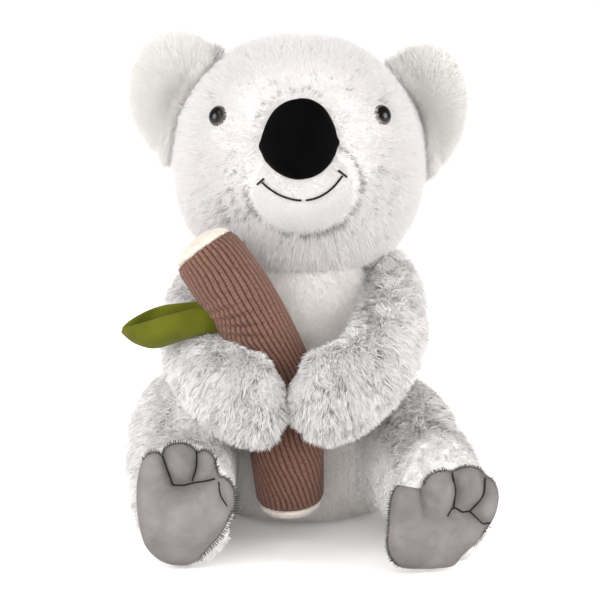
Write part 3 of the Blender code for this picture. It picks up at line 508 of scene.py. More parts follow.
def plain_look(
    name, colour, roughness, sheen=0.0, weave=0.0, grain=900.0, spread=0.12, specular=0.2
):
    """A cloth material: a colour that varies softly, with a fine bump and a sheen."""
    look, tree, shader = new_look(
        name, Roughness=roughness, Sheen_Weight=sheen, Sheen_Roughness=0.45,
        Specular_IOR_Level=specular,
    )
    place = shader_node(tree, "ShaderNodeTexCoord")
    blotch = shader_node(tree, "ShaderNodeTexNoise", Scale=60, Detail=5)
    darker = [part * (1 - spread) for part in colour]
    paler = [min(part * (1 + spread), 1) for part in colour]
    ramp = colour_ramp(tree, (0.3, darker), (0.7, paler))
    fine = shader_node(tree, "ShaderNodeTexNoise", Scale=grain, Detail=3)
    bump = shader_node(tree, "ShaderNodeBump", Strength=0.6, Distance=weave)
    wire(
        tree,
        (place, "Object", blotch, "Vector"),
        (place, "Object", fine, "Vector"),
        (blotch, "Fac", ramp, "Fac"),
        (ramp, "Color", shader, "Base Color"),
        (fine, "Fac", bump, "Height"),
    )
    if weave:
        wire(tree, (bump, "Normal", shader, "Normal"))
    return look


def pile_look(name, dark_root, dark_tip, pale_root, pale_tip, sheen=0.25):
    """A fur material: the map's across is the tone from dark to pale, its height root to tip.
    The roots are darker than the tips: partly the fur's own darker base, partly painted shade deep
    in the pile.
    """
    look, tree, shader = new_look(
        name, Roughness=0.75, Sheen_Weight=sheen, Sheen_Roughness=0.4, Specular_IOR_Level=0.15,
    )
    place = map_node(tree)
    parts = shader_node(tree, "ShaderNodeSeparateXYZ")
    blend = shader_node(tree, "ShaderNodeMix")
    blend.data_type = "RGBA"
    wire(tree, (place, "UV", parts, 0), (parts, "X", blend, "Factor"))
    for socket, root, tip in ((mix_first, dark_root, dark_tip), (mix_second, pale_root, pale_tip)):
        ramp = colour_ramp(tree, (0.12, root), (0.85, tip))
        wire(tree, (parts, "Y", ramp, "Fac"), (ramp, "Color", blend, socket))
    wire(tree, (blend, mix_result, shader, "Base Color"))
    return look


def dress(piece, look, body, slot, *nodes):
    """Gives a piece its material and body and hides the nodes that it stands for; slot is not used.
    """
    piece.data.materials.clear()
    piece.data.materials.append(look)
    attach(piece, body)
    if nodes:
        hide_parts(*nodes)
    return piece


def downward(root, up):
    """Fur that lies downwards."""
    return np.tile(np.array([0.0, -0.15, -1.0]), (len(root), 1))


white_backing = plain_look(
    "white knit backing", (0.84, 0.82, 0.81), roughness=0.95, sheen=0.2, weave=0.0003,
)
dark_fur_root = (0.13, 0.12, 0.125)
dark_fur_tip = (0.46, 0.445, 0.445)
grey_fur = pile_look(
    "grey and white fur", dark_fur_root, dark_fur_tip, pale_root=(0.93, 0.905, 0.90),
    pale_tip=(0.99, 0.975, 0.97), sheen=0.7,
)
body_plush = pile_look(
    "white body plush", dark_fur_root, dark_fur_tip, pale_root=(0.97, 0.925, 0.88),
    pale_tip=(1.0, 0.98, 0.95),
)
limbs = ["arm_left", "arm_right", "leg_left", "leg_right"]


def torso_front(root):
    """1 on the plush front of the torso and 0 on its furry back."""
    return step_between(-root[:, 1], -0.012, 0.012)


def torso_length(root, up):
    return 0.0072 - 0.0038 * torso_front(root)


def torso_tone(root, up):
    front = torso_front(root)
    back = 0.92 - 0.30 * mottle(root, 0.007, 11) ** 2 - 0.40 * mottle(root, 0.0035, 12) ** 2
    return front * 0.93 + (1 - front) * back


def chest_painted_shade(root, up):
    """Painted shade greys the chest a little, so that the plush between the legs stays paler, as
    painted light bounced up from the floor.
    """
    return 0.09 * step_between(root[:, 2], 0.070, 0.105)


torso_neighbours = limbs + ["head", "branch", "branch_cap_bottom"]
torso_cover = stuffed(
    "torso", "torso_cover", voxel=0.005, inset=0.0022, swell=0.0015, neighbours=torso_neighbours,
)
dress(torso_cover, white_backing, "body", "torso_plush", "torso")
torso_pile = pile(
    "torso_pile", torso_cover, torso_neighbours, strands=170000, seed=1, length=torso_length,
    width=0.00063, comb=downward, tone=torso_tone, lean=math.radians(58), painted_shade=chest_painted_shade,
)
dress(torso_pile, body_plush, "body", "torso_plush")

# Head
# A stuffed ball of short grey-white fur that flows away from the nose. The fur's dark
# ground shows above the nose, round the muzzle and on the left cheek.
# Each mark is a darker patch: its middle across and up, its half width and height, its depth.
head_marks = (
    (-0.006, 0.303, 0.026, 0.007, 0.24),
    (-0.048, 0.222, 0.022, 0.016, 0.34),
    (-0.040, 0.245, 0.010, 0.020, 0.22),
    (0.050, 0.262, 0.016, 0.030, 0.12),
    (0.046, 0.305, 0.020, 0.012, 0.05),
    (0.058, 0.232, 0.014, 0.026, 0.18),
    (-0.060, 0.300, 0.012, 0.014, 0.06),
    (0.020, 0.203, 0.040, 0.008, 0.14),
    (0.053, 0.291, 0.006, 0.003, 0.35),
    (-0.056, 0.291, 0.005, 0.003, 0.25),
)
nose_middle = np.array([0.0, -0.085, 0.270])
muzzle_middle = np.array([0.003, -0.085, 0.237])
face_seam = np.array([(0.0490, 0.3240), (0.0405, 0.3150), (0.0345, 0.3060), (0.0310, 0.2990)])


def line_gap(points, line):
    """Distance of each flat point from a line of flat points."""
    gap = np.full(len(points), 1.0)
    for first, second in zip(line, line[1:]):
        run = second - first
        share = np.clip(((points - first) @ run) / max(run @ run, 1e-12), 0, 1)
        gap = np.minimum(gap, np.linalg.norm(points - first - share[:, None] * run, axis=1))
    return gap


def head_tone(root, up):
    """Pale fur with grey patches on the face and a grey back."""
    tone = 0.940 - 0.07 * mottle(root, 0.005, 21) * mottle(root, 0.026, 22)
    facing = step_between(-root[:, 1], 0.0, 0.03)
    flecks = mottle(root, 0.0028, 23) ** 2
    for across, rise, half_width, half_height, depth in head_marks:
        far = ((root[:, 0] - across) / half_width) ** 2 + ((root[:, 2] - rise) / half_height) ** 2
        tone = tone - depth * np.exp(-far) * facing * (0.5 + 1.0 * flecks)
    parting = np.exp(-((line_gap(root[:, [0, 2]], face_seam) / 0.0022) ** 2)) * facing
    tone = tone - 0.20 * parting * (0.4 + mottle(root, 0.003, 27))
    beyond = np.linalg.norm((root - muzzle_middle)[:, [0, 2]] / np.array([0.0365, 0.031]), axis=1)
    ring = np.exp(-(((beyond - 1.04) / 0.05) ** 2)) * facing
    below_nose = step_between(0.272 - root[:, 2], 0.0, 0.01)
    right = step_between(root[:, 0] - muzzle_middle[0], -0.010, 0.022)
    low_left = step_between(muzzle_middle[2] - root[:, 2], -0.006, 0.010) * (1 - right)
    ring_depth = 0.12 + 0.50 * right + 0.38 * low_left
    tone = tone - ring * below_nose * ring_depth * (0.5 + mottle(root, 0.005, 24))
    by_nose = np.linalg.norm((root - nose_middle)[:, [0, 2]] / np.array([0.0300, 0.0290]), axis=1)
    brow = np.exp(-(((by_nose - 0.99) / 0.075) ** 2)) * facing * (1 - 0.8 * below_nose)
    tone = tone - brow * (0.19 + 0.24 * mottle(root, 0.005, 26))
    back = step_between(root[:, 1], 0.0, 0.05)
    return tone - back * (0.04 + 0.22 * mottle(root, 0.006, 25))


def head_comb(root, up):
    """Fur that lies away from the nose, and downwards on the cheeks and back."""
    away = unit(root - nose_middle)
    return away + np.array([0.0, 0.35, -0.25])


def head_length(root, up):
    """Short fur on the face, longer on the cheeks and the back."""
    near = np.linalg.norm(root - nose_middle, axis=1)
    return 0.0030 + 0.0034 * step_between(near, 0.035, 0.085)


face_pieces = ["nose", "muzzle", "eye_left", "eye_right"]
head_neighbours = ["torso", "branch", "ear_left", "ear_right", "arm_left", "arm_right"]
head_cover = stuffed(
    "head", "head_cover", voxel=0.0055, inset=0.0014, swell=0.0015,
    neighbours=head_neighbours + ["muzzle"],
)
dress(head_cover, white_backing, "face", "head_fur", "head")
head_pile = pile(
    "head_pile", head_cover, head_neighbours + face_pieces, strands=198000, seed=2,
    length=head_length, width=0.00050, comb=head_comb, tone=head_tone, lean=math.radians(62),
    stray=0.45, bunches=9000, gather=0.2,
)
head_fur = pile_look(
    "short grey-white head fur", dark_fur_root, (0.42, 0.41, 0.41),
    pale_root=(0.82, 0.80, 0.80), pale_tip=(0.91, 0.888, 0.888),
)
dress(head_pile, head_fur, "face", "head_fur")

# Muzzle
# A patch of short white plush over a thin pad of filling, sewn into the face round the
# mouth. Its right side is painted greyer, as painted shade where it turns from the light.
short_white = pile_look(
    "short white plush", (0.65, 0.64, 0.63), (0.85, 0.84, 0.83), pale_root=(0.86, 0.85, 0.845),
    pale_tip=(0.925, 0.915, 0.91),
)
muzzle_cover = stuffed(
    "muzzle", "muzzle_cover", voxel=0.0025, inset=0.0004, swell=0.0006, neighbours=["head", "nose"],
)
dress(muzzle_cover, white_backing, "face", "muzzle_plush", "muzzle")
muzzle_pile = pile(
    "muzzle_pile", muzzle_cover, ["nose", "head"], strands=60000, seed=3,
    length=lambda root, up: np.full(len(root), 0.0013), width=0.00035,
    comb=lambda root, up: unit(root - nose_middle) + np.array([0.0, 0.0, -0.4]),
    tone=lambda root, up: 0.85 + 0.10 * mottle(root, 0.004, 31), lean=math.radians(55),
    # Painted shade on the muzzle's right side.
    bare=0.0004, painted_shade=lambda root, up: 0.34 * step_between(root[:, 0], 0.002, 0.022),
)
dress(muzzle_pile, short_white, "face", "muzzle_plush")

# Nose
# A stuffed dome of black velvet: an upper and a lower panel meet in a point at each side.
# It leans over the muzzle. Its outline is the one seen from the front.


def smooth_line(points, steps):
    """Points on a smooth line through all the given ones."""
    rows = [np.array(point, dtype=float) for point in points]
    rows = [2 * rows[0] - rows[1]] + rows + [2 * rows[-1] - rows[-2]]
    line = []
    for index in range(1, len(rows) - 2):
        before, first, second, after = rows[index - 1 : index + 3]
        for step in range(steps):
            along = step / steps
            linear = second - before
            square = 2 * before - 5 * first + 4 * second - after
            cube = 3 * (first - second) + after - before
            line.append(first + (linear * along + square * along**2 + cube * along**3) / 2)
    return line + [rows[-2]]


def even_loop(marks, count):
    """A smooth closed line through marks, cut into even steps, and the marks it lies on."""
    line = np.array(smooth_line([*marks, marks[0]], 12))
    steps = np.linalg.norm(np.diff(line[:, :2], axis=0), axis=1)
    run = np.concatenate([[0], np.cumsum(steps)])
    even = np.linspace(0, run[-1], count, endpoint=False)
    return np.stack([np.interp(even, run, line[:, k]) for k in range(line.shape[1])], axis=1)


def flat_spot(frame_in, depth, column, row, wrap=0.0):
    """Where a line of sight meets a level of a frame whose front is its own -Y.

    The level curves back to both sides by wrap times the square of the way out."""
    start, way = sight(column, row)
    inward = frame_in.inverted()
    start = inward @ start
    way = inward.to_3x3() @ way
    spot = start - way * ((start.y + depth) / way.y)
    for _ in range(4):
        spot = start - way * ((start.y + depth - wrap * spot.x**2) / way.y)
    return np.array([spot.x, spot.z])


edge_spread = 0.9
edge_crowding = 1.25
lowest_point = 0.0006


def cushion(name, outline, height, back, frame_in, rings, wrap=0.0):
    """A closed cushion over an outline; height gives its front from place and share."""
    around = len(outline)
    hub = outline.mean(axis=0)
    rows = []
    for spread in (edge_spread, 1.0):
        flat = hub + (outline - hub) * spread
        rows.append(np.stack([flat[:, 0], np.full(around, -back), flat[:, 1]], 1))
    for ring in range(rings):
        share = 1 - (ring / rings) ** edge_crowding
        flat = hub + (outline - hub) * share
        face = -height(flat, np.full(around, share))
        rows.append(np.stack([flat[:, 0], face, flat[:, 1]], 1))
    crown = -height(hub[None], np.zeros(1))[0]
    every = np.vstack(rows + [[[hub[0], crown, hub[1]]], [[hub[0], -back, hub[1]]]])
    every[:, 1] += wrap * every[:, 0] ** 2
    place = np.array(frame_in)
    every = every @ place[:3, :3].T + place[:3, 3]
    every[:, 2] = np.maximum(every[:, 2], lowest_point)
    faces = []
    levels = rings + 2
    for index in range(around):
        after = (index + 1) % around
        for level in range(levels - 1):
            low, high = level * around, (level + 1) * around
            faces.append((low + index, low + after, high + after, high + index))
        top = (levels - 1) * around
        faces.append((top + index, top + after, levels * around))
        faces.append((after, index, levels * around + 1))
    mesh = bpy.data.meshes.new(name)
    mesh.from_pydata(every.tolist(), [], faces)
    made = linked(name, mesh)
    face_outward(made)
    bpy.ops.object.shade_smooth()
    return made


nose_marks = (
    (300, 98.5), (286, 102), (275, 109.5), (267.5, 120), (262.8, 132), (260.2, 141),
    (258.6, 145), (260.6, 149), (264, 156), (269, 163.5), (276, 170.3), (284.5, 175.2),
    (293, 177.8), (301, 178.3), (313, 176), (323, 170.5), (331, 161.5), (336, 151),
    (337.6, 145.5), (339.6, 141.5), (337.6, 137), (334, 124), (326.5, 110.5), (317, 102.5),
    (308, 99),
)
nose_lean = Matrix.Rotation(math.radians(-21), 4, "X")
nose_place = Matrix.Translation((0.0, -0.0830, 0.2703)) @ nose_lean
nose_rim = 0.0022
nose_bulge = 0.0160
nose_wrap = 10.5
nose_level = nose_rim + 0.001
nose_spots = [flat_spot(nose_place, nose_level, *mark, nose_wrap) for mark in nose_marks]
nose_loop = even_loop(nose_spots, 120)


def nose_height(flat, share):
    """Full in the middle, steep at the edge, with a soft ridge between the side points."""
    seam = np.exp(-(((flat[:, 1] + 0.004) / 0.004) ** 2)) * step_between(share, 0.5, 1.0)
    return nose_rim + nose_bulge * np.sqrt(np.maximum(1 - share**2.6, 0)) + 0.0005 * seam


nose_cover = cushion(
    "nose_dome", nose_loop, nose_height, back=-0.006, frame_in=nose_place, rings=22, wrap=nose_wrap,
)
nose_velvet = plain_look(
    "black velvet", (0.0020, 0.0017, 0.0018), roughness=0.9, weave=0.0002, grain=1500.0,
    spread=0.3, specular=0.05,
)
dress(nose_cover, nose_velvet, "face", "nose_velvet", "nose")

# Mouth
# Black embroidery thread sewn through the muzzle: a smile in two runs that all but meet by
# its lowest point, with a short bar across each end.


def on_piece(tree, column, row, lift):
    """The point of a piece that a point of the picture shows, at a lift towards the camera."""
    start, way = sight(column, row)
    found = tree.ray_cast(start, way)
    return found[0] - way * lift


def strand(lines, width, name):
    """Sewn threads: round tubes with closed ends along lines of points, as one mesh."""
    drawn = bpy.data.curves.new(name, "CURVE")
    drawn.dimensions = "3D"
    drawn.bevel_depth = width / 2
    drawn.bevel_resolution = 2
    drawn.use_fill_caps = True
    for line in lines:
        spline = drawn.splines.new("POLY")
        spline.points.add(len(line) - 1)
        for spot, point in zip(spline.points, line):
            spot.co = (*point, 1)
    only(linked(name, drawn))
    bpy.ops.object.convert(target="MESH")
    made = bpy.context.active_object
    face_outward(made, width / 100)
    bpy.ops.object.shade_smooth()
    return made


thread_weave = {"sheen": 0.1, "weave": 0.0002, "grain": 2500.0}
black_thread = plain_look(
    "black thread", (0.012, 0.011, 0.012), roughness=0.6, spread=0.3, **thread_weave,
)
muzzle_tree = tree_of(muzzle_cover)
mouth_marks = (
    (262, 182.5), (271, 190), (284, 197), (301.5, 200.5), (318, 197.5), (332, 188.5), (342.5, 176),
)
mouth_bars = (((257, 184.5), (263.5, 179)), ((338.5, 170.5), (347, 177)))
mouth_lift, bar_lift = 0.0013, 0.0016
break_step = 25
mouth_points = [on_piece(muzzle_tree, *mark, mouth_lift) for mark in mouth_marks]
mouth_curve = smooth_line(mouth_points, 8)
mouth_lines = [mouth_curve[:break_step], mouth_curve[break_step + 1 :]]
for ends in mouth_bars:
    bar = [on_piece(muzzle_tree, *mark, bar_lift) for mark in ends]
    mouth_lines.append([bar[0], (bar[0] + bar[1]) / 2, bar[1]])
mouth = strand(mouth_lines, width=0.0014, name="mouth_line")
dress(mouth, black_thread, "face", "black_thread", "mouth_thread")

# Eyes
# Domed safety eyes of glossy plastic: a black pupil in a grey-brown iris under a clear
# dome, which sits deeper on the side of the nose, on a post that a washer locks inside.
# The iris's grey-brown is partly its own colour and partly painted reflection.
eye_look, eye_tree, eye_shader = new_look(
    "glossy eye plastic", Roughness=0.22, Specular_IOR_Level=0.3, Coat_Weight=0.35,
    Coat_Roughness=0.10,
)
eye_place = map_node(eye_tree)
eye_centre = shader_node(eye_tree, "ShaderNodeVectorMath", "DISTANCE")
eye_centre.inputs[1].default_value = (0.5, 0.5, 0)
# The grey-brown iris ring is partly the eye's own colour and partly painted reflection.
eye_rings_and_reflection = colour_ramp(
    eye_tree,
    (0.22, (0.003, 0.003, 0.003)),
    (0.26, (0.008, 0.006, 0.005)),
    (0.29, (0.10, 0.082, 0.072)),
    (0.36, (0.13, 0.105, 0.090)),
    (0.40, (0.006, 0.005, 0.005)),
    (0.475, (0.05, 0.036, 0.027)),
)
wire(
    eye_tree,
    (eye_place, "UV", eye_centre, 0),
    (eye_centre, "Value", eye_rings_and_reflection, "Fac"),
    (eye_rings_and_reflection, "Color", eye_shader, "Base Color"),
)
washer_look = plain_look(
    "washer plastic", (0.72, 0.71, 0.68), roughness=0.45, weave=0.0001, grain=400.0, spread=0.04,
)
eye_shifts = {"left": Vector((0.0008, 0.0, 0.0004)), "right": Vector((-0.0016, 0.0, 0.0009))}
eye_sink = 0.0012
eye_tip = 0.21
eye_radius = 0.0070
dome_height = 0.0044
crown_drop = 0.0006
post_radius = 0.0021
post_past_washer = 0.006

for side in ("left", "right"):
    node = bpy.data.objects["eye_" + side]
    washer = bpy.data.objects["eye_washer_" + side]
    washer.data.materials.clear()
    washer.data.materials.append(washer_look)
    eye_rows = spots_of(node.data)
    inner = Vector(spots_of(washer.data).mean(axis=0))
    axis = (Vector(eye_rows.mean(axis=0)) - inner).normalized()
    heights = (eye_rows - np.array(inner)) @ np.array(axis)
    crown = inner + axis * heights.max()
    bpy.ops.object.select_all(action="DESELECT")
    bpy.ops.mesh.primitive_uv_sphere_add(segments=40, ring_count=24, radius=1.0)
    eye = bpy.context.active_object
    eye.name = "eye_dome_" + side
    bpy.ops.object.mode_set(mode="EDIT")
    bpy.ops.mesh.select_all(action="SELECT")
    bpy.ops.mesh.bisect(plane_co=(0, 0, 0), plane_no=(0, 0, 1), use_fill=True, clear_inner=True)
    bpy.ops.object.mode_set(mode="OBJECT")
    layer = eye.data.uv_layers.get("OFBake") or eye.data.uv_layers.new(name="OFBake")
    for corner in eye.data.loops:
        spot = eye.data.vertices[corner.vertex_index].co
        slope = math.atan2(math.hypot(spot.x, spot.y), max(spot.z, 0.0)) / (math.pi / 2)
        flat = math.hypot(spot.x, spot.y) or 1.0
        reach = 0.49 * slope / flat
        layer.data[corner.index].uv = (0.5 + reach * spot.x, 0.5 + reach * spot.y)
    for other in [found for found in eye.data.uv_layers if found.name != "OFBake"]:
        eye.data.uv_layers.remove(other)
    crown = crown - axis * crown_drop
    turn = axis.to_track_quat("Z", "Y").to_matrix().to_4x4()
    to_nose = Vector((1 if side == "left" else -1, 0, -0.55)).normalized()
    tipped = (axis + to_nose * eye_tip).normalized()
    tip_turn = tipped.to_track_quat("Z", "Y").to_matrix().to_4x4()
    seat = crown + eye_shifts[side] - axis * (dome_height + eye_sink - crown_drop)
    eye.data.transform(Matrix.Diagonal((eye_radius, eye_radius, dome_height, 1)))
    eye.data.transform(Matrix.Translation(seat) @ tip_turn)
    post_start = inner - axis * post_past_washer
    post_end = crown - axis * dome_height
    bpy.ops.object.select_all(action="DESELECT")
    bpy.ops.mesh.primitive_cylinder_add(
        vertices=20, radius=post_radius, depth=(post_end - post_start).length
    )
    post = bpy.context.active_object
    post.name = "eye_post_" + side
    post.data.transform(Matrix.Translation((post_end + post_start) / 2) @ turn)
    dress(eye, eye_look, "face", "eye_plastic", "eye_" + side)
    only(eye)
    bpy.ops.object.shade_smooth_by_angle(angle=math.radians(50))
    dress(post, washer_look, "face", "washer_plastic")

# Ears
# Thick round ears: long cream pile in front, fanned out from a hollow by the head, with
# grey fur on the back and on the upper edge by the head.
# The pale roots are warmer than the tips, as painted warm shade deep in the pile and in the hollow.
ear_look = pile_look(
    "cream and grey ear pile", (0.15, 0.14, 0.145), (0.55, 0.54, 0.54),
    pale_root=(1.0, 0.96, 0.91), pale_tip=(1.0, 0.99, 0.97), sheen=0.9,
)
ear_backing = plain_look(
    "cream knit backing", (0.95, 0.92, 0.86), roughness=0.95, sheen=0.2, weave=0.0003,
)
ear_turns = {"left": 4, "right": -34}
top_edges = {
    "left": np.array([(-0.070, 0.334), (-0.060, 0.328), (-0.050, 0.314)]),
    "right": np.array([(0.050, 0.312), (0.060, 0.322), (0.075, 0.327)]),
}
ear_cloth = {"voxel": 0.0030, "inset": 0.0045, "swell": 0.0010}
hollow_depth = 0.0065

for side, seed in (("left", 41), ("right", 42)):
    cover = stuffed("ear_" + side, "ear_cover_" + side, neighbours=["head"], **ear_cloth)
    low, high = (np.array(corner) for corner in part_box("ear_" + side))
    sign = -1 if side == "left" else 1
    hub = (low + high) / 2 - np.array([sign * 0.012, 0.0, 0.006])
    angle = math.radians(ear_turns[side])
    front = np.array([math.sin(angle), -math.cos(angle), 0.0])
    rows = spots_of(cover.data)
    before = step_between(normals_of(cover.data) @ front, 0.1, 0.6)
    around_hub = np.linalg.norm(rows - hub - np.outer((rows - hub) @ front, front), axis=1)
    hollow = hollow_depth * before * (1 - step_between(around_hub, 0.004, 0.025))
    put_spots(cover.data, rows - front * hollow[:, None])
    dress(cover, ear_backing, side + "_ear", "ear_plush", "ear_" + side)

    def ear_comb(root, up, hub=hub, front=front):
        """Pile that fans out from the hollow to the rim."""
        return unit(root - hub) + front * 0.25

    def ear_length(root, up, hub=hub, front=front):
        """Long at the rim and in front, shorter in the hollow and behind."""
        rim = step_between(np.linalg.norm(root - hub, axis=1), 0.012, 0.040)
        return 0.0070 + 0.0050 * rim - 0.0030 * step_between(-(up @ front), 0.2, 0.7)

    def ear_tone(root, up, front=front, side=side):
        """Cream in front and over the rim, mottled grey behind and at the top by the head."""
        facing = step_between(up @ front, -0.60, -0.35)
        edge = line_gap(root[:, [0, 2]], top_edges[side])
        pale = facing * step_between(edge, 0.005, 0.011)
        flecks = mottle(root, 0.004, 43)
        grey = facing * (0.24 + 0.46 * flecks) + (1 - facing) * (0.58 + 0.22 * flecks)
        return pale * 0.93 + (1 - pale) * grey

    fur = pile(
        "ear_pile_" + side, cover, ["head"], strands=48000, seed=seed, length=ear_length,
        width=0.0006, comb=ear_comb, tone=ear_tone, lean=math.radians(77), bend=True,
        bunches=2600, gather=0.3, stray=0.25, reach=2.5, roll=0.3,
    )
    dress(fur, ear_look, side + "_ear", "ear_plush")

# Arms
# Stuffed arms of shaggy grey fur with white tips that falls in tufts. Each is one sewn form
# with a round mitten paw, fixed to the body's side at the shoulder, and hugs the branch.
arm_cloth = {"voxel": 0.0040, "inset": 0.0042, "swell": 0.0015}
arm_base = 0.95
arm_spots = {"left": (0.15, 0.30), "right": (0.12, 0.28)}
tufted = {"bend": True, "stray": 0.4, "swirl": 0.9, "roll": 1.0}
inner_edge = np.array(
    [(0.054, 0.190), (0.052, 0.178), (0.047, 0.163), (0.041, 0.150), (0.033, 0.140)]
)
dark_spot = np.array([-0.078, 0.140])
dark_spot_reach = np.array([0.012, 0.008])
arm_neighbours = ["torso", "head", "leg_left", "leg_right", "branch", "leaf"]
for side, seed in (("left", 51), ("right", 52)):
    other = "right" if side == "left" else "left"
    near = arm_neighbours + ["arm_" + other]
    cover = stuffed("arm_" + side, "arm_cover_" + side, neighbours=near, **arm_cloth)
    dress(cover, white_backing, side + "_arm", "arm_fur", "arm_" + side)
    change, fleck = arm_spots[side]

    def arm_comb(root, up):
        """Fur that falls down and forwards along the arm to the paw."""
        return np.array([0.0, -0.25, -0.9]) + 0.25 * up

    def arm_length(root, up):
        """Long fur, shorter where the two paws meet over the branch."""
        apart = np.hypot(root[:, 0] + 0.008, root[:, 2] - 0.120)
        return 0.0090 - 0.0055 * (1 - step_between(apart, 0.006, 0.026))

    def arm_tone(root, up, change=change, fleck=fleck, side=side):
        """Grey ground with pale tufts, darkest on the outside of the upper arm."""
        under = step_between(-up[:, 2], 0.2, 0.8)
        outer = 1 - 0.9 * step_between(np.abs(root[:, 0]), 0.048, 0.068)
        spots = change * mottle(root, 0.009, 53) ** 2 + fleck * mottle(root, 0.004, 54) ** 2
        tone = arm_base + 0.03 * (1 - outer) - spots * outer
        if side == "left":
            sleeve = step_between(root[:, 2], 0.150, 0.175)
            far = (root[:, [0, 2]] - dark_spot) / dark_spot_reach
            dark = np.exp(-(far[:, 0] ** 2 + far[:, 1] ** 2))
            return tone * (1 - sleeve) + 0.95 * sleeve - 0.45 * dark * mottle(root, 0.004, 55)
        edge = line_gap(root[:, [0, 2]], inner_edge)
        seam = np.exp(-((edge / 0.006) ** 2)) * step_between(-up[:, 1], -0.3, 0.2)
        seam = seam * (0.45 + 0.55 * step_between(root[:, 2], 0.155, 0.180))
        return tone + 0.1 * under - 0.75 * seam * mottle(root, 0.005, 55)

    def paw_painted_shade(root, up):
        """Painted shade makes the paws a little greyer than the outer sleeves."""
        low = 1 - step_between(root[:, 2], 0.115, 0.150)
        return 0.12 * low * (1 - step_between(np.abs(root[:, 0]), 0.035, 0.062))

    fur = pile(
        "arm_pile_" + side, cover, near, strands=62000, seed=seed, length=arm_length,
        width=0.0007, comb=arm_comb, tone=arm_tone, lean=math.radians(62), bunches=2000,
        gather=0.5, painted_shade=paw_painted_shade, **tufted,
    )
    dress(fur, grey_fur, side + "_arm", "arm_fur")

# Legs
# Stuffed legs: shaggy mottled fur on top and outside, short white plush inside, below and
# as a ruff round the sole. The left leg is mostly white.
sole_middles = {
    "left": Vector((-0.07254, -0.15330, 0.04150)),
    "right": Vector((0.09360, -0.14892, 0.03569)),
}
sole_turns = {"left": (-5, 6), "right": (22, 20)}
leg_cloth = {"voxel": 0.0045, "inset": 0.0036, "swell": 0.0015}
# How strongly painted shade greys the ruff round each sole.
ruff_shade_strength = {"left": 0.10, "right": 0.24}
sole_frames = {}
for side, middle in sole_middles.items():
    turn, lean = (math.radians(angle) for angle in sole_turns[side])
    place = Matrix.Translation(middle) @ Matrix.Rotation(turn, 4, "Z")
    sole_frames[side] = place @ Matrix.Rotation(-lean, 4, "X")

for side, seed in (("left", 61), ("right", 62)):
    sign = -1 if side == "left" else 1
    near = ["torso", "arm_left", "arm_right", "branch", "sole_" + side]
    cover = stuffed("leg_" + side, "leg_cover_" + side, neighbours=near, **leg_cloth)
    dress(cover, white_backing, side + "_leg", "leg_fur", "leg_" + side)
    into_sole = np.array(sole_frames[side].inverted())

    def shaggy(root, up, sign=sign, into_sole=into_sole):
        """1 on the shaggy top and outside of a leg, 0 on its plush parts."""
        behind_sole = root @ into_sole[1, :3] + into_sole[1, 3]
        off_ruff = step_between(behind_sole, 0.010, 0.022)
        on_top = step_between(up[:, 2] + 0.75 * sign * up[:, 0], -0.25, 0.25)
        return off_ruff * on_top

    def leg_length(root, up, into_sole=into_sole, side=side):
        """Long where shaggy, short where plush, and very short under the sole."""
        across, behind, above = into_sole[:3, :3] @ root.T + into_sole[:3, 3:]
        under_sole = np.hypot(across / 0.036, above / 0.040)
        in_front = 1 - step_between(behind, 0.008, 0.014)
        hidden = in_front * (1 - step_between(under_sole, 0.78, 0.92))
        if side == "right":
            notch = step_between(-across, 0.004, 0.009) * step_between(above, 0.018, 0.024)
            hidden = hidden * (1 - notch)
        return (0.0032 + 0.0054 * shaggy(root, up)) * (1 - 0.8 * hidden)

    def leg_comb(root, up, sign=sign):
        """Fur that lies forwards and down along the leg."""
        return np.tile(np.array([0.25 * sign, -0.3, -0.9]), (len(root), 1)) + 0.2 * up

    def leg_tone(root, up, side=side):
        """Mottled grey where shaggy, white where plush."""
        rough = shaggy(root, up)
        spots = mottle(root, 0.008, 63)
        fine = mottle(root, 0.0035, 64)
        if side == "left":
            grey = 0.95 - 0.05 * spots**2 - 0.10 * fine**2
        else:
            grey = 0.95 - 0.28 * spots**2 - 0.44 * fine**2
        return rough * grey + (1 - rough) * 0.94

    def ruff_painted_shade(root, up, into_sole=into_sole, side=side):
        """Painted shade makes the ruffs round the soles, which face the light, a little greyer than
        the rest.
        """
        behind_sole = root @ into_sole[1, :3] + into_sole[1, 3]
        return ruff_shade_strength[side] * (1 - step_between(behind_sole, 0.012, 0.030))

    fur = pile(
        "leg_pile_" + side, cover, near[:-1], strands=64000, seed=seed, length=leg_length,
        width=0.0007, comb=leg_comb, tone=leg_tone, lean=math.radians(64), bunches=2600,
        gather=0.45, reach=2.5, painted_shade=ruff_painted_shade, **tufted,
    )
    dress(fur, grey_fur, side + "_leg", "leg_fur")

# Soles
# Puffed pads of light grey suede-like plush, sewn on with black whip stitches. Black
# thread pulled through the stuffing divides the toes and sets off the thumb.
sole_outlines = {
    "left": (
        (145, 455), (139, 466), (136, 481), (135, 496), (135.5, 511), (138, 528), (142, 543),
        (148, 553), (157, 561), (167, 565.5), (178, 567), (188, 566), (196, 562), (203, 554),
        (213, 543), (222, 531), (229.5, 518), (234, 507), (234.5, 496), (232, 486), (226.5, 479.5),
        (218, 476.5), (216, 469), (214, 460), (209, 453), (202, 450.5), (196.5, 452.5),
        (193, 449), (187, 444.8), (178, 443.5), (169, 445), (163.5, 449), (160, 455),
        (156, 453), (150.5, 452.5),
    ),
    "right": (
        (392, 523.5), (392.5, 508), (395.5, 493), (402, 484.5), (414, 486), (424, 487),
        (428, 479.5), (436, 472.5), (447, 468.5), (456, 470.5), (463, 466.5), (473, 465),
        (483, 467.5), (489.5, 474), (496, 478), (501, 486), (502.5, 497), (500.5, 509),
        (496, 520), (490, 529), (481, 541), (467, 554), (457, 565), (442, 567.5), (426, 568),
        (405, 566.5), (394, 557), (390.5, 543),
    ),
}
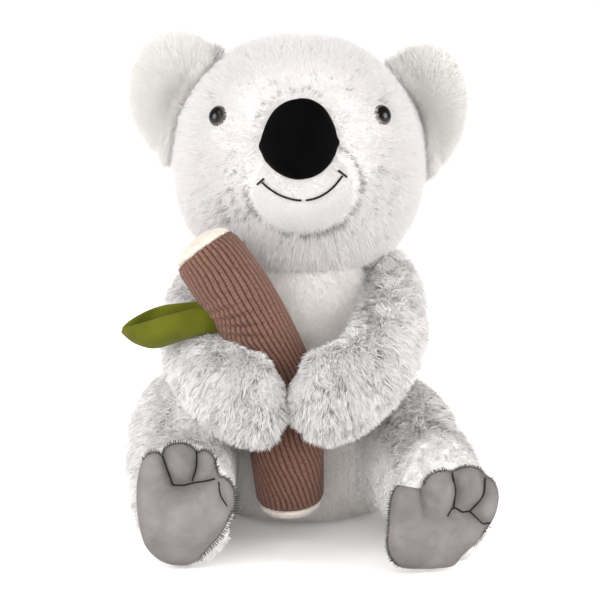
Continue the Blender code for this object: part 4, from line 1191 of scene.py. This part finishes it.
sole_threads = {
    "left": (
        (((161, 457), (166, 471), (171.5, 486)), 1.0),
        (((195.5, 453), (195, 468), (191, 482)), 1.0),
        (((171.5, 486), (182, 486.5), (192, 484), (203, 482.5), (214, 480)), 0.7),
    ),
    "right": (
        (((456, 472), (458.5, 489), (457.5, 507)), 1.0),
        (((489, 477), (486.5, 495), (473, 511)), 1.0),
        (((448, 516), (457.5, 507), (466, 511), (474, 511), (485, 522), (494, 522)), 0.6),
    ),
}
thumb_threads = {
    "left": ((217.5, 483), (219.5, 495), (226, 507)),
    "right": ((424, 488), (422, 500), (424.5, 515)),
}
suede = plain_look(
    "grey suede plush", (0.232, 0.212, 0.208), roughness=0.9, sheen=0.2, weave=0.00035,
    grain=1400.0, spread=0.26,
)
suede_tree = suede.node_tree
suede_blotch = {"Scale": 42, "Detail": 6, "Roughness": 0.6, "Distortion": 0.35}
for part in suede_tree.nodes:
    if part.bl_idname == "ShaderNodeTexNoise" and part.inputs["Scale"].default_value < 100:
        set_inputs(part, suede_blotch)
# Painted shade: a point value darkens the suede along the rim and the toe creases, and the rest is
# painted a little lighter.
suede_shade_reader = shader_node(suede_tree, "ShaderNodeAttribute")
suede_shade_reader.attribute_name = "sole_painted_shade"
suede_shade = shader_node(suede_tree, "ShaderNodeMapRange", To_Min=1.08, To_Max=0.62)
suede_colour = shader_node(suede_tree, "ShaderNodeVectorMath", "SCALE")
wire(
    suede_tree,
    (suede_shade_reader, "Fac", suede_shade, "Value"),
    (suede_tree.nodes["Color Ramp"], "Color", suede_colour, 0),
    (suede_shade, "Result", suede_colour, "Scale"),
    (suede_colour, 0, suede_tree.nodes["Principled BSDF"], "Base Color"),
)
grey_thread = plain_look(
    "grey thread", (0.12, 0.108, 0.105), roughness=0.8, spread=0.2, **thread_weave,
)
sole_puff = 0.0120
sole_rim = 0.0018
# Painted shade laid over the whole right sole; the left gets none.
whole_sole_shade = {"left": 0.0, "right": 0.12}
thumb_depth = 0.6
toe_thread_lift = 0.0002
thumb_thread_ways = {"left": (0.0002, black_thread), "right": (-0.0001, grey_thread)}
whip_reach, long_whip_reach = 0.0013, 0.0026
whip_skew = 0.0004


def stitched(side, column, row):
    """Whether the stitches show between the plush and the sole at a point of the picture."""
    if side == "left":
        return column > 196 or row < 462
    return column < 403 or row < 482 or (column > 476 and 526 < row < 547)


for side in ("left", "right"):
    level = sole_puff * 0.6
    marks = [(*flat_spot(sole_frames[side], level, *mark), *mark) for mark in sole_outlines[side]]
    loop = even_loop(marks, 160)
    outline, outline_marks = loop[:, :2], loop[:, 2:]
    hub = outline.mean(axis=0)
    creases = []
    for crease_marks, depth in (*sole_threads[side], (thumb_threads[side], thumb_depth)):
        laid = [flat_spot(sole_frames[side], level, *mark) for mark in crease_marks]
        creases.append((np.array(smooth_line(laid, 10)), depth))

    def puffed(flat, share, creases=creases):
        """Height of the sole's face over its flat back."""
        height = sole_rim + (sole_puff - sole_rim) * np.maximum(1 - share**2.6, 0) ** 0.62
        for crease, depth in creases:
            gap = line_gap(flat, crease)
            narrow = 0.0028 * np.exp(-((gap / 0.0022) ** 1.2))
            wide = 0.0050 * np.exp(-((gap / 0.0080) ** 2))
            height = height - depth * (narrow + wide) * (share < 0.999)
        return np.maximum(height, sole_rim * 0.8)

    sole = cushion(
        "sole_pad_" + side, outline, puffed, back=0.0003, frame_in=sole_frames[side], rings=26,
    )
    inward = np.array(sole_frames[side].inverted())
    flat_spots = (spots_of(sole.data) @ inward[:3, :3].T + inward[:3, 3])[:, [0, 2]]
    from_rim = line_gap(flat_spots, np.vstack([outline, outline[:1]]))
    # Painted shade along the sole's rim and its creases, kept as a point value.
    sole_shade_values = whole_sole_shade[side] + 0.40 * np.exp(-((from_rim / 0.0028) ** 2))
    for crease, depth in creases:
        sole_shade_values = np.maximum(sole_shade_values, depth * np.exp(-((line_gap(flat_spots, crease) / 0.0034) ** 1.5)))
    sole_shade_layer = sole.data.attributes.new("sole_painted_shade", "FLOAT", "POINT")
    sole_shade_layer.data.foreach_set("value", sole_shade_values.astype(np.float32))
    dress(sole, suede, side + "_leg", "sole_suede", "sole_" + side)

    place = np.array(sole_frames[side])

    def on_sole(flat_line, lift, hub=hub, outline=outline, puffed=puffed, place=place):
        """A flat line laid on the sole's face at a lift, as points in the scene."""
        laid = []
        angles = np.arctan2(*(outline - hub).T[::-1])
        for spot in flat_line:
            away = spot - hub
            turned = np.angle(np.exp(1j * (angles - math.atan2(away[1], away[0]))))
            nearest = np.argmin(np.abs(turned))
            edge = np.linalg.norm(outline[nearest] - hub)
            share = min(np.linalg.norm(away) / edge, 0.97)
            height = puffed(np.array([spot]), np.array([share]))[0] + lift
            laid.append(place[:3, :3] @ np.array([spot[0], -height, spot[1]]) + place[:3, 3])
        return laid

    toe_lines = [on_sole(crease, toe_thread_lift) for crease, _ in creases[:-1]]
    thumb = creases[-1][0]
    toes = strand(toe_lines, width=0.0011, name="toe_lines_" + side)
    dress(toes, black_thread, side + "_leg", "black_thread", "toe_thread_" + side)
    thumb_lift, thread_look = thumb_thread_ways[side]
    thumb_line = strand([on_sole(thumb, thumb_lift)], width=0.0009, name="thumb_line_" + side)
    dress(thumb_line, thread_look, side + "_leg", "black_thread", "thumb_thread_" + side)
    draw = np.random.default_rng(71)
    stitches = []
    for spot, (column, row) in zip(outline, outline_marks):
        if not stitched(side, column, row):
            continue
        long_stitch = side == "left" and column > 198 and 497 < row < 560
        outward = (spot - hub) / np.linalg.norm(spot - hub)
        outer = spot + outward * (long_whip_reach if long_stitch else whip_reach)
        inner = spot - outward * draw.uniform(0.0006, 0.0016)
        skew = draw.normal(size=2) * whip_skew
        heights = (-0.0010, -sole_rim - 0.0009, -sole_rim * 0.9 - 0.0012)
        flats = (outer + skew, spot + skew * 0.5, inner)
        stitch = [
            place[:3, :3] @ np.array([flat[0], height, flat[1]]) + place[:3, 3]
            for flat, height in zip(flats, heights)
        ]
        if min(point[2] for point in stitch) > 0.0012:
            stitches.append(stitch)
    whip = strand(stitches, width=0.0005, name="whip_stitches_" + side)
    dress(whip, black_thread, side + "_leg", "black_thread")

# Branch
# A stuffed tube of brown wide-wale corduroy that leans across the belly. The paws press
# it flat, it wrinkles by the leaf's seam, and its wales turn a little below the paws.
# Each row is a point of the tube's middle line and its half width and half depth there.
branch_rows = np.array(
    [
        (-0.00580, -0.08883, 0.02940, 0.02232, 0.02139),
        (-0.00696, -0.09259, 0.04704, 0.02348, 0.02232),
        (-0.00812, -0.09400, 0.06860, 0.02418, 0.02139),
        (-0.00696, -0.09306, 0.09408, 0.02186, 0.01860),
        (-0.01276, -0.09165, 0.11760, 0.02093, 0.01953),
        (-0.02900, -0.09024, 0.14700, 0.02325, 0.02232),
        (-0.04670, -0.08695, 0.17444, 0.02400, 0.02325),
        (-0.06215, -0.08272, 0.19502, 0.02280, 0.02200),
    ]
)
wales = 38
facets = 5
branch_steps = 300
wale_height = 0.0010
end_turn_in = 0.0012
branch_around = wales * facets
branch_line = np.array(smooth_line(branch_rows, 25))
branch_places = np.linspace(0, len(branch_line) - 1, branch_steps)
branch_fine = np.stack(
    [np.interp(branch_places, np.arange(len(branch_line)), branch_line[:, k]) for k in range(5)], 1
)
spine = branch_fine[:, :3]
onward = unit(np.gradient(spine, axis=0))
sideways = unit(np.array([1.0, 0.0, 0.0]) - onward * onward[:, :1])
frontways = np.cross(onward, sideways)
shares = np.linspace(0, 1, branch_steps)[:, None]
turns = 2 * math.pi * np.arange(branch_around)[None] / branch_around
twist = 1.15 * np.exp(-((shares / 0.33) ** 2)) + 0.02 * np.sin(shares * 19 + turns * 2)
twist = twist + 0.009 * np.sin(shares * 47 + turns * 5) + 0.003 * np.sin(shares * 111 + turns * 11)
angles = turns + twist
ridge = 1 - (2 * ((np.arange(branch_around) % facets) / facets) - 1) ** 4
ends = np.minimum(step_between(shares, 0, 0.03), step_between(1 - shares, 0, 0.03))
out = wale_height * (ridge[None] - 1) - end_turn_in * (1 - ends)
front_angle = np.angle(np.exp(1j * (angles - math.radians(235))))
wrinkles = np.zeros_like(out)
# Each pinch by the leaf's seam is its place along the tube, its slant and its depth.
pinches = (
    (0.715, -0.050, 1.5),
    (0.742, -0.042, 1.9),
    (0.768, -0.030, 1.7),
    (0.797, -0.022, 1.2),
    (0.83, -0.012, 0.7),
)
for middle, slant, deep in pinches:
    across_fold = (shares - middle - slant * front_angle) / 0.0090
    wrinkles += deep * np.exp(-(across_fold**2)) * np.exp(-((front_angle / 0.75) ** 2))
dents = ((0.52, 0.7, 285), (0.40, 0.6, 265), (0.36, 0.5, 300))
for middle, deep, about in dents:
    there = np.angle(np.exp(1j * (angles - math.radians(about))))
    wrinkles += deep * np.exp(-(((shares - middle) / 0.012) ** 2)) * np.exp(-((there / 0.6) ** 2))
wrinkle_depth = 0.0017
out = out - wrinkle_depth * wrinkles
half_side = branch_fine[:, 3:4] + out
half_depth = branch_fine[:, 4:5] + out
branch_points = (
    spine[:, None]
    + sideways[:, None] * (half_side * np.cos(angles))[:, :, None]
    + frontways[:, None] * (half_depth * np.sin(angles))[:, :, None]
)
branch_ends = np.stack([spine[0] + onward[0] * 0.001, spine[-1] - onward[-1] * 0.001])
branch_points = np.vstack([branch_points.reshape(-1, 3), branch_ends])
branch_faces = []
branch_map = []
edges = [(index / branch_around, (index + 1) / branch_around) for index in range(branch_around)]
for level in range(branch_steps - 1):
    for index, (left, right) in enumerate(edges):
        after = (index + 1) % branch_around
        low, high = level * branch_around, (level + 1) * branch_around
        branch_faces.append((low + index, low + after, high + after, high + index))
        under, over = level / branch_steps, (level + 1) / branch_steps
        branch_map.append(((left, under), (right, under), (right, over), (left, over)))
last = branch_steps * branch_around
top = last - branch_around
for index, (left, right) in enumerate(edges):
    after = (index + 1) % branch_around
    branch_faces.append((after, index, last))
    branch_map.append(((right, 0.0), (left, 0.0), (left, 0.003)))
    branch_faces.append((top + index, top + after, last + 1))
    branch_map.append(((left, 0.994), (right, 0.994), (left, 0.999)))
branch_mesh = bpy.data.meshes.new("branch_tube")
branch_mesh.from_pydata(branch_points.tolist(), [], branch_faces)
layer = branch_mesh.uv_layers.new(name="OFBake")
map_spots = np.array([spot for face in branch_map for spot in face], dtype=np.float32)
layer.data.foreach_set("uv", map_spots.ravel())
branch = linked("branch_tube", branch_mesh)
face_outward(branch)
bpy.ops.object.shade_smooth()

# The wales are darker towards their grooves: partly the cloth's low ground between them, partly
# painted shade.
groove_ground_and_shade = (0.075, 0.034, 0.026)
flank = (0.125, 0.060, 0.045)
crest = (0.205, 0.110, 0.083)
corduroy, cord, cord_shader = new_look(
    "brown corduroy", Roughness=0.9, Sheen_Weight=0.25, Sheen_Roughness=0.4,
    Specular_IOR_Level=0.15,
)
cord_place = map_node(cord)
cord_parts = shader_node(cord, "ShaderNodeSeparateXYZ")
cord_many = shader_node(cord, "ShaderNodeMath", "MULTIPLY")
cord_many.inputs[1].default_value = wales
cord_share = shader_node(cord, "ShaderNodeMath", "FRACT")
cord_bands_and_shade = colour_ramp(
    cord, (0.0, groove_ground_and_shade), (0.10, flank), (0.24, crest), (0.76, crest), (0.90, flank), (1.0, groove_ground_and_shade)
)
cord_object = shader_node(cord, "ShaderNodeTexCoord")
cord_nap = shader_node(cord, "ShaderNodeTexNoise", Scale=1.0, Detail=4)
cord_stretch = shader_node(cord, "ShaderNodeVectorMath", "MULTIPLY")
cord_stretch.inputs[1].default_value = (wales * 1.3, 230, 0)
cord_wear = shader_node(cord, "ShaderNodeTexNoise", Scale=45, Detail=4)
cord_range = shader_node(
    cord, "ShaderNodeMapRange", From_Min=0.32, From_Max=0.68, To_Min=0.72, To_Max=1.30
)
cord_wide = shader_node(cord, "ShaderNodeMapRange", To_Min=0.82, To_Max=1.18)
cord_tint = shader_node(cord, "ShaderNodeMath", "MULTIPLY")
cord_colour = shader_node(cord, "ShaderNodeVectorMath", "SCALE")
cord_bump = shader_node(cord, "ShaderNodeBump", Strength=0.7, Distance=0.0004)
wire(
    cord,
    (cord_place, "UV", cord_parts, 0),
    (cord_parts, "X", cord_many, 0),
    (cord_many, 0, cord_share, 0),
    (cord_share, 0, cord_bands_and_shade, "Fac"),
    (cord_place, "UV", cord_stretch, 0),
    (cord_stretch, 0, cord_nap, "Vector"),
    (cord_object, "Object", cord_wear, "Vector"),
    (cord_nap, "Fac", cord_range, "Value"),
    (cord_wear, "Fac", cord_wide, "Value"),
    (cord_range, "Result", cord_tint, 0),
    (cord_wide, "Result", cord_tint, 1),
    (cord_bands_and_shade, "Color", cord_colour, 0),
    (cord_tint, 0, cord_colour, "Scale"),
    (cord_colour, 0, cord_shader, "Base Color"),
    (cord_nap, "Fac", cord_bump, "Height"),
    (cord_bump, "Normal", cord_shader, "Normal"),
)
dress(branch, corduroy, "body", "branch_corduroy", "branch")

# Branch caps
# Discs of short cream plush, sewn into both ends of the tube along their edge and pushed
# out a little by the filling.
cap_look = pile_look(
    "cream cap plush", (0.62, 0.52, 0.44), (0.82, 0.72, 0.64), pale_root=(0.96, 0.88, 0.80),
    pale_tip=(1.0, 0.965, 0.915), sheen=0.5,
)
cap_backing = plain_look(
    "cream cap backing", (0.93, 0.85, 0.77), roughness=0.95, sheen=0.2, weave=0.0003,
)
cap_cloth = {"voxel": 0.0018, "inset": 0.0008, "swell": 0.0006}
near = ["branch", "head", "torso"]
for end, seed in (("top", 81), ("bottom", 82)):
    cover = stuffed("branch_cap_" + end, "cap_cover_" + end, neighbours=near, **cap_cloth)
    dress(cover, cap_backing, "body", "cap_plush", "branch_cap_" + end)
    fur = pile(
        "cap_pile_" + end, cover, near, strands=18000, seed=seed,
        length=lambda root, up: np.full(len(root), 0.0014), width=0.00035, comb=downward,
        tone=lambda root, up: 0.93 + 0.02 * mottle(root, 0.005, 83), lean=math.radians(55),
        stray=0.8, bare=0.0005,
    )
    dress(fur, cap_look, "body", "cap_plush")

# Leaf
# Two layers of olive velvet sewn edge to edge, folded up along the midrib so that the
# tip end opens like a pod. Its stem end is caught in the branch's side seam.
leaf_front_edge = (
    (-0.0500, -0.0920, 0.1570), (-0.0620, -0.0960, 0.1590), (-0.0740, -0.0990, 0.1578),
    (-0.0860, -0.1005, 0.1548), (-0.0970, -0.1000, 0.1515), (-0.1080, -0.0970, 0.1480),
    (-0.1160, -0.0930, 0.1445),
)
leaf_midrib = (
    (-0.0490, -0.0900, 0.1420), (-0.0610, -0.0930, 0.1412), (-0.0720, -0.0950, 0.1392),
    (-0.0840, -0.0955, 0.1350), (-0.0960, -0.0950, 0.1322), (-0.1080, -0.0935, 0.1355),
    (-0.1168, -0.0920, 0.1425),
)
leaf_back_edge = (
    (-0.0500, -0.0880, 0.1590), (-0.0620, -0.0860, 0.1612), (-0.0740, -0.0840, 0.1608),
    (-0.0870, -0.0830, 0.1592), (-0.0985, -0.0840, 0.1560), (-0.1090, -0.0870, 0.1510),
    (-0.1162, -0.0910, 0.1452),
)
leaf_marks = (leaf_front_edge, leaf_midrib, leaf_back_edge)
leaf_edges = [np.array(smooth_line(edge, 8)) for edge in leaf_marks]
leaf_across = 14
leaf_thickness = 0.0020
leaf_fullness = 0.0050
leaf_wave = 0.0009
leaf_lines = []
for order, (front, rib, back) in enumerate(zip(*leaf_edges)):
    along = order / (len(leaf_edges[0]) - 1)
    swell = leaf_fullness * math.sin(math.pi * min(along * 1.05, 1.0)) ** 0.7
    line = []
    for step in range(-leaf_across, leaf_across + 1):
        share = abs(step) / leaf_across
        edge = front if step < 0 else back
        side_way = -1.0 if step < 0 else 0.55
        wave = leaf_wave * math.sin(along * 17 + share * 4) * share
        bow = swell * math.sin(math.pi * min(share * 1.02, 1.0))
        off_chord = np.array([0.0, side_way * bow + wave, -0.2 * bow])
        line.append(rib + (edge - rib) * share + off_chord)
    leaf_lines.append(line)
leaf_points = np.array(leaf_lines).reshape(-1, 3)
leaf_columns = 2 * leaf_across + 1
leaf_faces = []
for level in range(len(leaf_lines) - 1):
    for index in range(leaf_columns - 1):
        low, high = level * leaf_columns + index, (level + 1) * leaf_columns + index
        leaf_faces.append((low, low + 1, high + 1, high))
leaf_mesh = bpy.data.meshes.new("leaf_blade")
leaf_mesh.from_pydata(leaf_points.tolist(), [], leaf_faces)
leaf = linked("leaf_blade", leaf_mesh)
only(leaf)
layers = leaf.modifiers.new("two layers", "SOLIDIFY")
layers.thickness = leaf_thickness
layers.offset = 0.0
layers.use_rim = True
bpy.ops.object.modifier_apply(modifier=layers.name)
subdivide(leaf, "soft edge", 2)
face_outward(leaf)
bpy.ops.object.shade_smooth()
leaf_velvet = plain_look(
    "olive velvet", (0.115, 0.124, 0.006), roughness=0.85, sheen=0.15, weave=0.00025,
    grain=1600.0, spread=0.16,
)
dress(leaf, leaf_velvet, "branch_leaf", "leaf_velvet", "leaf")

# Sizes
# The box round the dressed toy is found.
low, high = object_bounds()
